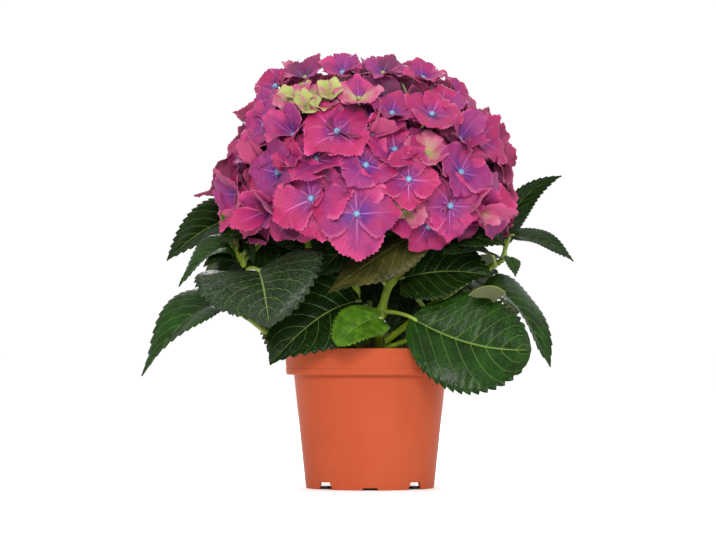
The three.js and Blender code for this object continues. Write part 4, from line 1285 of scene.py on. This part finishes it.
class HYDRANGEA_OT_compost(Operator):
    """Fills the pot with uneven compost and strews loose crumbs over it"""

    bl_idname = "hydrangea.compost"
    bl_label = "Compost"

    def execute(self, context):
        sizes = context.scene.hydrangea_pot
        random = np.random.default_rng(SEEDS["compost"])
        shoulder = POT_HEIGHT - sizes.rim_height
        gap = sizes.wall + SOIL["clearance"]
        edge_radius = RIM_FOOT_RADIUS - gap
        waves = [(random.uniform(*SOIL_WAVES["pitch"]), *random.uniform(0, LAST_PHASE, 2))
                 for _ in range(SOIL_WAVES["count"])]

        def surface(x, y):
            away = np.hypot(x, y)
            share = np.clip((away - SOIL["flat"]) / (edge_radius - SOIL["flat"]), 0, 1)
            rough = sum(np.sin(x * f * np.cos(a) + y * f * np.sin(a) + p) * SOIL_WAVES["height"]
                        for f, a, p in waves)
            fall = (SOIL["middle"] - SOIL["edge"]) * share
            return SOIL["middle"] - SOIL["sunk"] - fall + rough * (1 - share**8)

        skin = Skin()
        sides, rings = SOIL["sides"], SOIL["rings"]
        turns = np.linspace(0, 2 * math.pi, sides, endpoint=False)
        radii = edge_radius * np.linspace(0, 1, rings + 1)[1:]
        x = np.concatenate(([0], (radii[:, None] * np.cos(turns)).ravel()))
        y = np.concatenate(([0], (radii[:, None] * np.sin(turns)).ravel()))
        z = surface(x, y)
        wall_rows = [(RIM_FOOT_RADIUS - gap - 0.5, shoulder + 2.6), (BODY_TOP_RADIUS - gap, shoulder - 1.6),
                     (sizes.foot_radius, FLOOR_HEIGHT + gap)]
        for radius, height in wall_rows:
            x = np.concatenate((x, radius * np.cos(turns)))
            y = np.concatenate((y, radius * np.sin(turns)))
            z = np.concatenate((z, np.full(sides, height)))
        ring = np.arange(1, 1 + (rings + len(wall_rows)) * sides).reshape(-1, sides)
        after = np.roll(ring, -1, axis=1)
        quads = np.stack((ring[:-1], ring[1:], after[1:], after[:-1]), axis=-1).reshape(-1, 4)
        fan = np.stack((np.zeros(sides, int), ring[0], after[0]), axis=-1)
        floor_fan = np.stack((np.full(sides, len(x)), after[-1], ring[-1]), axis=-1)
        points = np.vstack((np.column_stack((x, y, z)), (0, 0, wall_rows[-1][1])))
        skin.add(points, (quads, fan, floor_fan))
        compost = spotted_material("dark_compost", sizes.compost, tuple(0.4 * c for c in sizes.compost),
                                   420.0, 0.95, 0.9, 0.002)
        new_piece("compost_bed", skin.mesh("compost_bed"), compost, "compost", "soil")
        lumps = []
        for i in range(CRUMBS["kinds"]):
            ball = bmesh.new()
            bmesh.ops.create_icosphere(ball, subdivisions=1, radius=1)
            for vertex in ball.verts:
                vertex.co *= random.uniform(*CRUMBS["rough"])
                vertex.co.z *= CRUMBS["flat"]
            lump = object_of(ball, f"lump_{i}")
            bpy.context.scene.collection.objects.unlink(lump)
            lumps.append(lump)
        rows = []
        for i in range(sizes.crumbs):
            away, turn = edge_radius * math.sqrt(random.uniform(0, 0.97)), random.uniform(0, LAST_PHASE)
            px, py = away * math.cos(turn), away * math.sin(turn)
            size = random.uniform(*CRUMBS["small" if i % CRUMBS["every"] else "large"])
            rows.append(dict(middle=(px, py, float(surface(px, py)) + 0.2 * size), grown=size * MM,
                             turned=random.uniform(0, LAST_PHASE, 3).tolist(),
                             shape=int(random.integers(CRUMBS["kinds"]))))
        crumb = spotted_material("compost_crumbs", tuple(0.55 * c for c in sizes.compost),
                                 tuple(min(1, 2.6 * c) for c in sizes.compost), 260.0, 0.95, 0.6, 0.001)
        new_piece("compost_crumbs", scatter_shapes("compost_crumbs", rows, lumps, crumb), crumb, "compost")
        return {"FINISHED"}


# ---- Trunk, stems and leaf stalks ----

# The woody foot: places along it, sides, depth of its furrows, flare at the compost and its cut end.
FOOT = {"places": 20, "sides": 72, "furrows": 0.022, "flare": 2.2, "cut": (0.96, 0.86, 0.62)}
# Each kind of green stem: places along it and sides.
BOUGH_MESH, SHOOT_MESH, HEAD_STALK_MESH = (44, 20), (36, 18), (10, 18)
HEAD_STALK_RADII = (3, 4.2)
RIB_DEPTH = 0.02
# A stem is thicker by this share where a leaf joins, over this share of its length.
JOINT_SWELL, JOINT_REACH = 0.28, 0.06


def bark_dents(random, depth):
    """Long ridges and furrows round a woody foot."""
    phases = random.uniform(0, LAST_PHASE, 3)

    def dents(ring, turns):
        return depth * (np.sin(7 * turns + phases[0] + 0.25 * ring)
                        + 0.6 * np.sin(13 * turns - 0.4 * ring + phases[1])
                        + 0.5 * np.sin(23 * turns + 0.9 * ring + phases[2]))

    return dents


def ribbed(random, depth):
    """The low ribs of a young stem."""
    phase = random.uniform(0, LAST_PHASE)

    def dents(ring, turns):
        return depth * np.sin(6 * turns + phase + 0.05 * ring)

    return dents


def swollen(points, radii, steps, joints):
    """A tapering path's places and radii, thicker where leaves join."""
    centres = smooth_path(points, steps)
    along = np.linspace(0, 1, steps)
    thick = radii[0] + (radii[1] - radii[0]) * along
    for place in joints:
        thick = thick + JOINT_SWELL * radii[0] * np.exp(-(((along - place) / JOINT_REACH) ** 2))
    return centres, thick


class HYDRANGEA_OT_stems(Operator):
    """Makes the woody foot, the green stems and the leaf stalks"""

    bl_idname = "hydrangea.stems"
    bl_label = "Stems"

    def execute(self, context):
        looks = context.scene.hydrangea_stems
        random = np.random.default_rng(SEEDS["stems"])
        foot = Skin()
        places = FOOT["places"]
        thick = np.linspace(*TRUNK["radii"], places) + FOOT["flare"] * np.linspace(1, 0, places) ** 4
        thick[-len(FOOT["cut"]):] *= FOOT["cut"]
        tube(foot, smooth_path(TRUNK["points"], places), thick, FOOT["sides"],
             bark_dents(random, FOOT["furrows"]))
        bark = spotted_material("thin_bark", looks.bark_dark, looks.bark, 160.0, 0.85, 0.7, 0.001)
        new_piece("woody_foot", foot.mesh("woody_foot"), bark, "woody_foot", "trunk")
        green = Skin()
        stems = [(bough["points"], bough["radii"], BOUGH_MESH, bough["joints"]) for bough in BOUGHS.values()]
        stems += [(shoot["stem"], shoot["radii"], SHOOT_MESH, [leaf["at"] for leaf in shoot["leaves"]])
                  for shoot in SHOOTS.values()]
        for points, radii, (places, sides), joints in stems:
            centres, thick = swollen(points, radii, places, joints)
            tube(green, centres, thick, sides, ribbed(random, RIB_DEPTH))
        places, sides = HEAD_STALK_MESH
        for head in HEADS.values():
            tube(green, smooth_path(head["stalk"], places), np.linspace(*HEAD_STALK_RADII, places), sides)
        stem = spotted_material("green_stem", looks.green_dark, looks.green, 90.0, 0.42, 0.35, 0.0006,
                                Specular_IOR_Level=0.2)
        new_piece("green_stems", green.mesh("green_stems"), stem, "green_stem", *BOUGHS)
        stalks = Skin()
        for name, leaf in all_leaves():
            shoot = SHOOTS[name]
            root = smooth_path(shoot["stem"], 201)[int(round(leaf["at"] * 200))]
            ends = SMALL_STALK_RADII if leaf["breadth"] < SMALL_BREADTH else STALK_RADII
            radii = np.linspace(*ends, STALK_PLACES)
            radii[0] *= STALK_FOOT
            tube(stalks, stalk_points(leaf, root), radii, STALK_SIDES)
        stalk = spotted_material("leaf_stalk", looks.green, looks.stalk, 120.0, 0.45, 0.3, 0.0005)
        new_piece("leaf_stalks", stalks.mesh("leaf_stalks"), stalk, "green_stem")
        return {"FINISHED"}


def all_leaves():
    """Every leaf with the name of its shoot."""
    pairs = [(name, leaf) for name, shoot in SHOOTS.items() for leaf in shoot["leaves"]]
    return pairs + [(name, leaf) for name, leaves in SMALL_LEAVES.items() for leaf in leaves]


class HYDRANGEA_OT_leaves(Operator):
    """Makes the toothed leaves, the front and the back ones apart"""

    bl_idname = "hydrangea.leaves"
    bl_label = "Leaves"

    def execute(self, context):
        finish = leaf_material(context.scene.hydrangea_leaves)
        random = np.random.default_rng(SEEDS["leaves"])
        front, back = Skin(), Skin()
        for name, leaf in all_leaves():
            leaf_blade(back if "_back" in name else front, leaf, random)
        new_piece("front_leaves", front.mesh("front_leaves"), finish, "leaf",
                  *(name for name in SHOOTS if "_back" not in name))
        new_piece("back_leaves", back.mesh("back_leaves"), finish, "leaf",
                  *(name for name in SHOOTS if "_back" in name))
        return {"FINISHED"}


# ---- The bloom ----

BLUE_EYED = (PINK, ROYAL, ROSE, CRIMSON, LILAC)
EYE = {"size": 2.8, "young_size": 2.2, "raised": 1.5, "lobes": 0.12}
# The dark middle, a near-black body of painted shade: how deep it lies under the mound, its lowest height,
# and its two linear colours.
CORE = {"depth": 32, "lowest": 214, "colours": ((0.045, 0.004, 0.018), (0.12, 0.008, 0.045))}
FLORET_STALK = {"radii": (0.9, 1.2), "colours": ((0.42, 0.30, 0.22), (0.34, 0.42, 0.14))}


def nearest_head(point):
    """The name of the head whose middle is nearest."""
    return min(HEADS, key=lambda name: np.linalg.norm(np.array(HEADS[name]["middle"]) - point))


class HYDRANGEA_OT_bloom(Operator):
    """Grows the florets of the four merged heads, their eyes, their stalks and the dark middle of painted
    shade
    """

    bl_idname = "hydrangea.bloom"
    bl_label = "Bloom"

    def execute(self, context):
        looks = context.scene.hydrangea_bloom
        finish = sepal_material(looks)
        placed = front_florets()
        young = young_florets()
        filling = filling_florets(placed + young)
        inner = inner_florets()
        for head in HEADS:
            rows, shapes = [], []
            for i, floret in enumerate(placed):
                if nearest_head(floret["middle"]) != head:
                    continue
                rows.append(floret_row(floret, 1.0, len(shapes)))
                shapes.append(floret_shape(f"floret_{len(shapes):03d}", floret["size"], floret["cup"],
                                           floret["tone"], "front", i))
            for kind, group, cup in (("filling", filling, FILL_CUP), ("inner", inner, INNER["cup"])):
                known = {}
                for floret in group:
                    if nearest_head(floret["middle"]) != head:
                        continue
                    tone, shape = floret["tone"], floret["shape"]
                    if (tone, shape) not in known:
                        known[tone, shape] = len(shapes)
                        shapes.append(floret_shape(f"floret_{len(shapes):03d}", MODEL_SIZE,
                                                   cup + SHAPE_CUPS[shape], tone, kind,
                                                   tone * FILL_SHAPES + shape))
                    rows.append(floret_row(floret, floret["size"] / MODEL_SIZE, known[tone, shape]))
            made = scatter_shapes(head, rows, shapes, finish)
            new_piece(head.replace("head_", "sepals_"), made, finish, "sepal", head)
        self.young(finish, young)
        self.eyes(looks, placed + filling, young)
        self.middle(placed + filling + inner + young)
        return {"FINISHED"}

    def young(self, finish, florets):
        """The unopened florets, yellow-green and tightly cupped."""
        shapes = [floret_shape(f"young_{i}", MODEL_SIZE, YOUNG["cup"] + cup, tone, "young", i)
                  for i, (cup, tone) in enumerate(zip(YOUNG_CUPS, YOUNG_TONES))]
        rows = [floret_row(floret, floret["size"] / MODEL_SIZE, i % len(shapes))
                for i, floret in enumerate(florets)]
        new_piece("young_florets", scatter_shapes("young_florets", rows, shapes, finish), finish, "sepal")

    def eyes(self, looks, florets, young):
        """A small domed eye in the middle of each floret, blue in the open ones and green in the others."""
        blue = [f for f in florets if f["tone"] in BLUE_EYED]
        green = [f for f in florets if f["tone"] not in BLUE_EYED] + young
        for name, group, tone, size in (("floret_eyes", blue, looks.eye, EYE["size"]),
                                        ("young_eyes", green, looks.young_eye, EYE["young_size"])):
            finish = spotted_material(name, tone, tuple(0.6 * c for c in tone), 700.0, 0.4)
            ball = bmesh.new()
            bmesh.ops.create_icosphere(ball, subdivisions=2, radius=1)
            for vertex in ball.verts:
                bearing = math.atan2(vertex.co.y, vertex.co.x)
                lobes = 1 + EYE["lobes"] * math.cos(4 * bearing) * math.hypot(vertex.co.x, vertex.co.y)
                vertex.co = Vector((vertex.co.x * lobes, vertex.co.y * lobes, vertex.co.z * 0.8 + 0.3))
            shape = object_of(ball, name + "_shape")
            bpy.context.scene.collection.objects.unlink(shape)
            raised = (dict(f, middle=f["middle"] + EYE["raised"] * f["faces"]) for f in group)
            rows = [floret_row(f, size * MM, 0) for f in raised]
            new_piece(name, scatter_shapes(name, rows, [shape], finish), finish, "sepal")

    def middle(self, florets):
        """The dark middle of the mound, a body of painted shade, and the florets' stalks that run into it.
        """
        ball = bmesh.new()
        bmesh.ops.create_icosphere(ball, subdivisions=5, radius=1)
        for vertex in ball.verts:
            direction = np.array(vertex.co.normalized())
            point = direction * (float(reach(direction)) - CORE["depth"]) + (0, 0, MOUND["height"])
            point[2] = max(CORE["lowest"], point[2])
            vertex.co = Vector(point * MM)
        made = settled_mesh(object_of(ball, "core"), "bloom_middle")
        made.polygons.foreach_set("use_smooth", [True] * len(made.polygons))
        # Near-black maroon: painted shade inside the mound.
        dark = spotted_material("painted_shade_middle", *CORE["colours"], 90.0, 0.8)
        new_piece("bloom_middle", made, dark, "sepal")
        stalks = Skin()
        for floret in florets:
            hub = np.array(HEADS[nearest_head(floret["middle"])]["middle"], float)
            root = floret["middle"] + 0.5 * (hub - floret["middle"])
            tube(stalks, np.linspace(floret["middle"], root, 5), np.linspace(*FLORET_STALK["radii"], 5), 6)
        pale = spotted_material("floret_stalk", *FLORET_STALK["colours"], 100.0, 0.5)
        new_piece("floret_stalks", stalks.mesh("floret_stalks"), pale, "green_stem")


# ---- Stage ----

# The lamps' names, places and sizes in metres, and powers in watts.
LAMPS = (("key", (-0.05, -2.3, 1.0), 0.7, 47), ("top", (0.1, -0.1, 2.0), 1.2, 9),
         ("back", (0.0, 2.3, 1.5), 1.2, 34))
LAMP_AIM = (0, 0, 0.2)
CAMERA_X, CAMERA_HEIGHT, AIM_HEIGHT = -0.0098, 0.115, 0.178
SENSOR_WIDTH = 36
CLIP_END = 50
FLOOR_SIDES = 128


class HYDRANGEA_OT_stage(Operator):
    """Sets up the pale floor, the soft light and the camera"""

    bl_idname = "hydrangea.stage"
    bl_label = "Stage"

    def execute(self, context):
        sizes = context.scene.hydrangea_stage
        scene = context.scene
        disc = bmesh.new()
        bmesh.ops.create_circle(disc, cap_ends=True, segments=FLOOR_SIDES, radius=sizes.floor_radius)
        floor = object_of(disc, "plain_floor")
        shade = tuple(0.99 * part for part in sizes.floor)
        paper = spotted_material("pale_paper", sizes.floor, shade, 3.0, 0.9, 0.02, 0.0005)
        floor.data.materials.append(paper)
        world = bpy.data.worlds.new("soft_room")
        world.use_nodes = True
        background = world.node_tree.nodes["Background"]
        background.inputs["Color"].default_value = (1, 1, 1, 1)
        background.inputs["Strength"].default_value = sizes.room
        scene.world = world
        for name, place, size, power in LAMPS:
            lamp = bpy.data.lights.new(name, "AREA")
            lamp.size = size
            lamp.energy = power
            self.aimed(scene, bpy.data.objects.new(name, lamp), place, LAMP_AIM)
        camera = bpy.data.cameras.new("camera")
        camera.lens = sizes.lens
        camera.sensor_width = SENSOR_WIDTH
        camera.clip_end = CLIP_END
        eye = bpy.data.objects.new("camera", camera)
        self.aimed(scene, eye, (CAMERA_X, -sizes.distance, CAMERA_HEIGHT), (CAMERA_X, 0, AIM_HEIGHT))
        scene.camera = eye
        scene.view_settings.view_transform = "Standard"
        return {"FINISHED"}

    def aimed(self, scene, thing, place, aim):
        """Puts a lamp or the camera in its place, turned to what it is aimed at."""
        thing.location = place
        thing.rotation_euler = (Vector(aim) - Vector(thing.location)).to_track_quat("-Z", "Y").to_euler()
        scene.collection.objects.link(thing)


class HYDRANGEA_PT_panel(Panel):
    """Lists the steps and their settings"""

    bl_idname = "HYDRANGEA_PT_panel"
    bl_label = "Potted Hydrangea"
    bl_space_type = "VIEW_3D"
    bl_region_type = "UI"
    bl_category = "Hydrangea"

    def draw(self, context):
        for group in GROUPS:
            settings = getattr(context.scene, group)
            box = self.layout.box()
            for name in settings.bl_rna.properties.keys():
                if name not in ("rna_type", "name"):
                    box.prop(settings, name)
        for step in STEPS:
            self.layout.operator(step.bl_idname)


GROUPS = {"hydrangea_pot": PotSettings, "hydrangea_stems": StemSettings, "hydrangea_leaves": LeafSettings,
          "hydrangea_bloom": BloomSettings, "hydrangea_stage": StageSettings}
STEPS = (HYDRANGEA_OT_pot, HYDRANGEA_OT_compost, HYDRANGEA_OT_stems, HYDRANGEA_OT_leaves, HYDRANGEA_OT_bloom,
         HYDRANGEA_OT_stage)


def register():
    for made in (*GROUPS.values(), *STEPS, HYDRANGEA_PT_panel):
        bpy.utils.register_class(made)
    for name, group in GROUPS.items():
        setattr(bpy.types.Scene, name, PointerProperty(type=group))


def unregister():
    for name in GROUPS:
        delattr(bpy.types.Scene, name)
    for made in (HYDRANGEA_PT_panel, *STEPS[::-1], *list(GROUPS.values())[::-1]):
        bpy.utils.unregister_class(made)


def main():
    register()
    bpy.ops.hydrangea.pot()
    bpy.ops.hydrangea.compost()
    bpy.ops.hydrangea.stems()
    bpy.ops.hydrangea.leaves()
    bpy.ops.hydrangea.bloom()
    bpy.ops.hydrangea.stage()


if __name__ == "__main__":
    main()
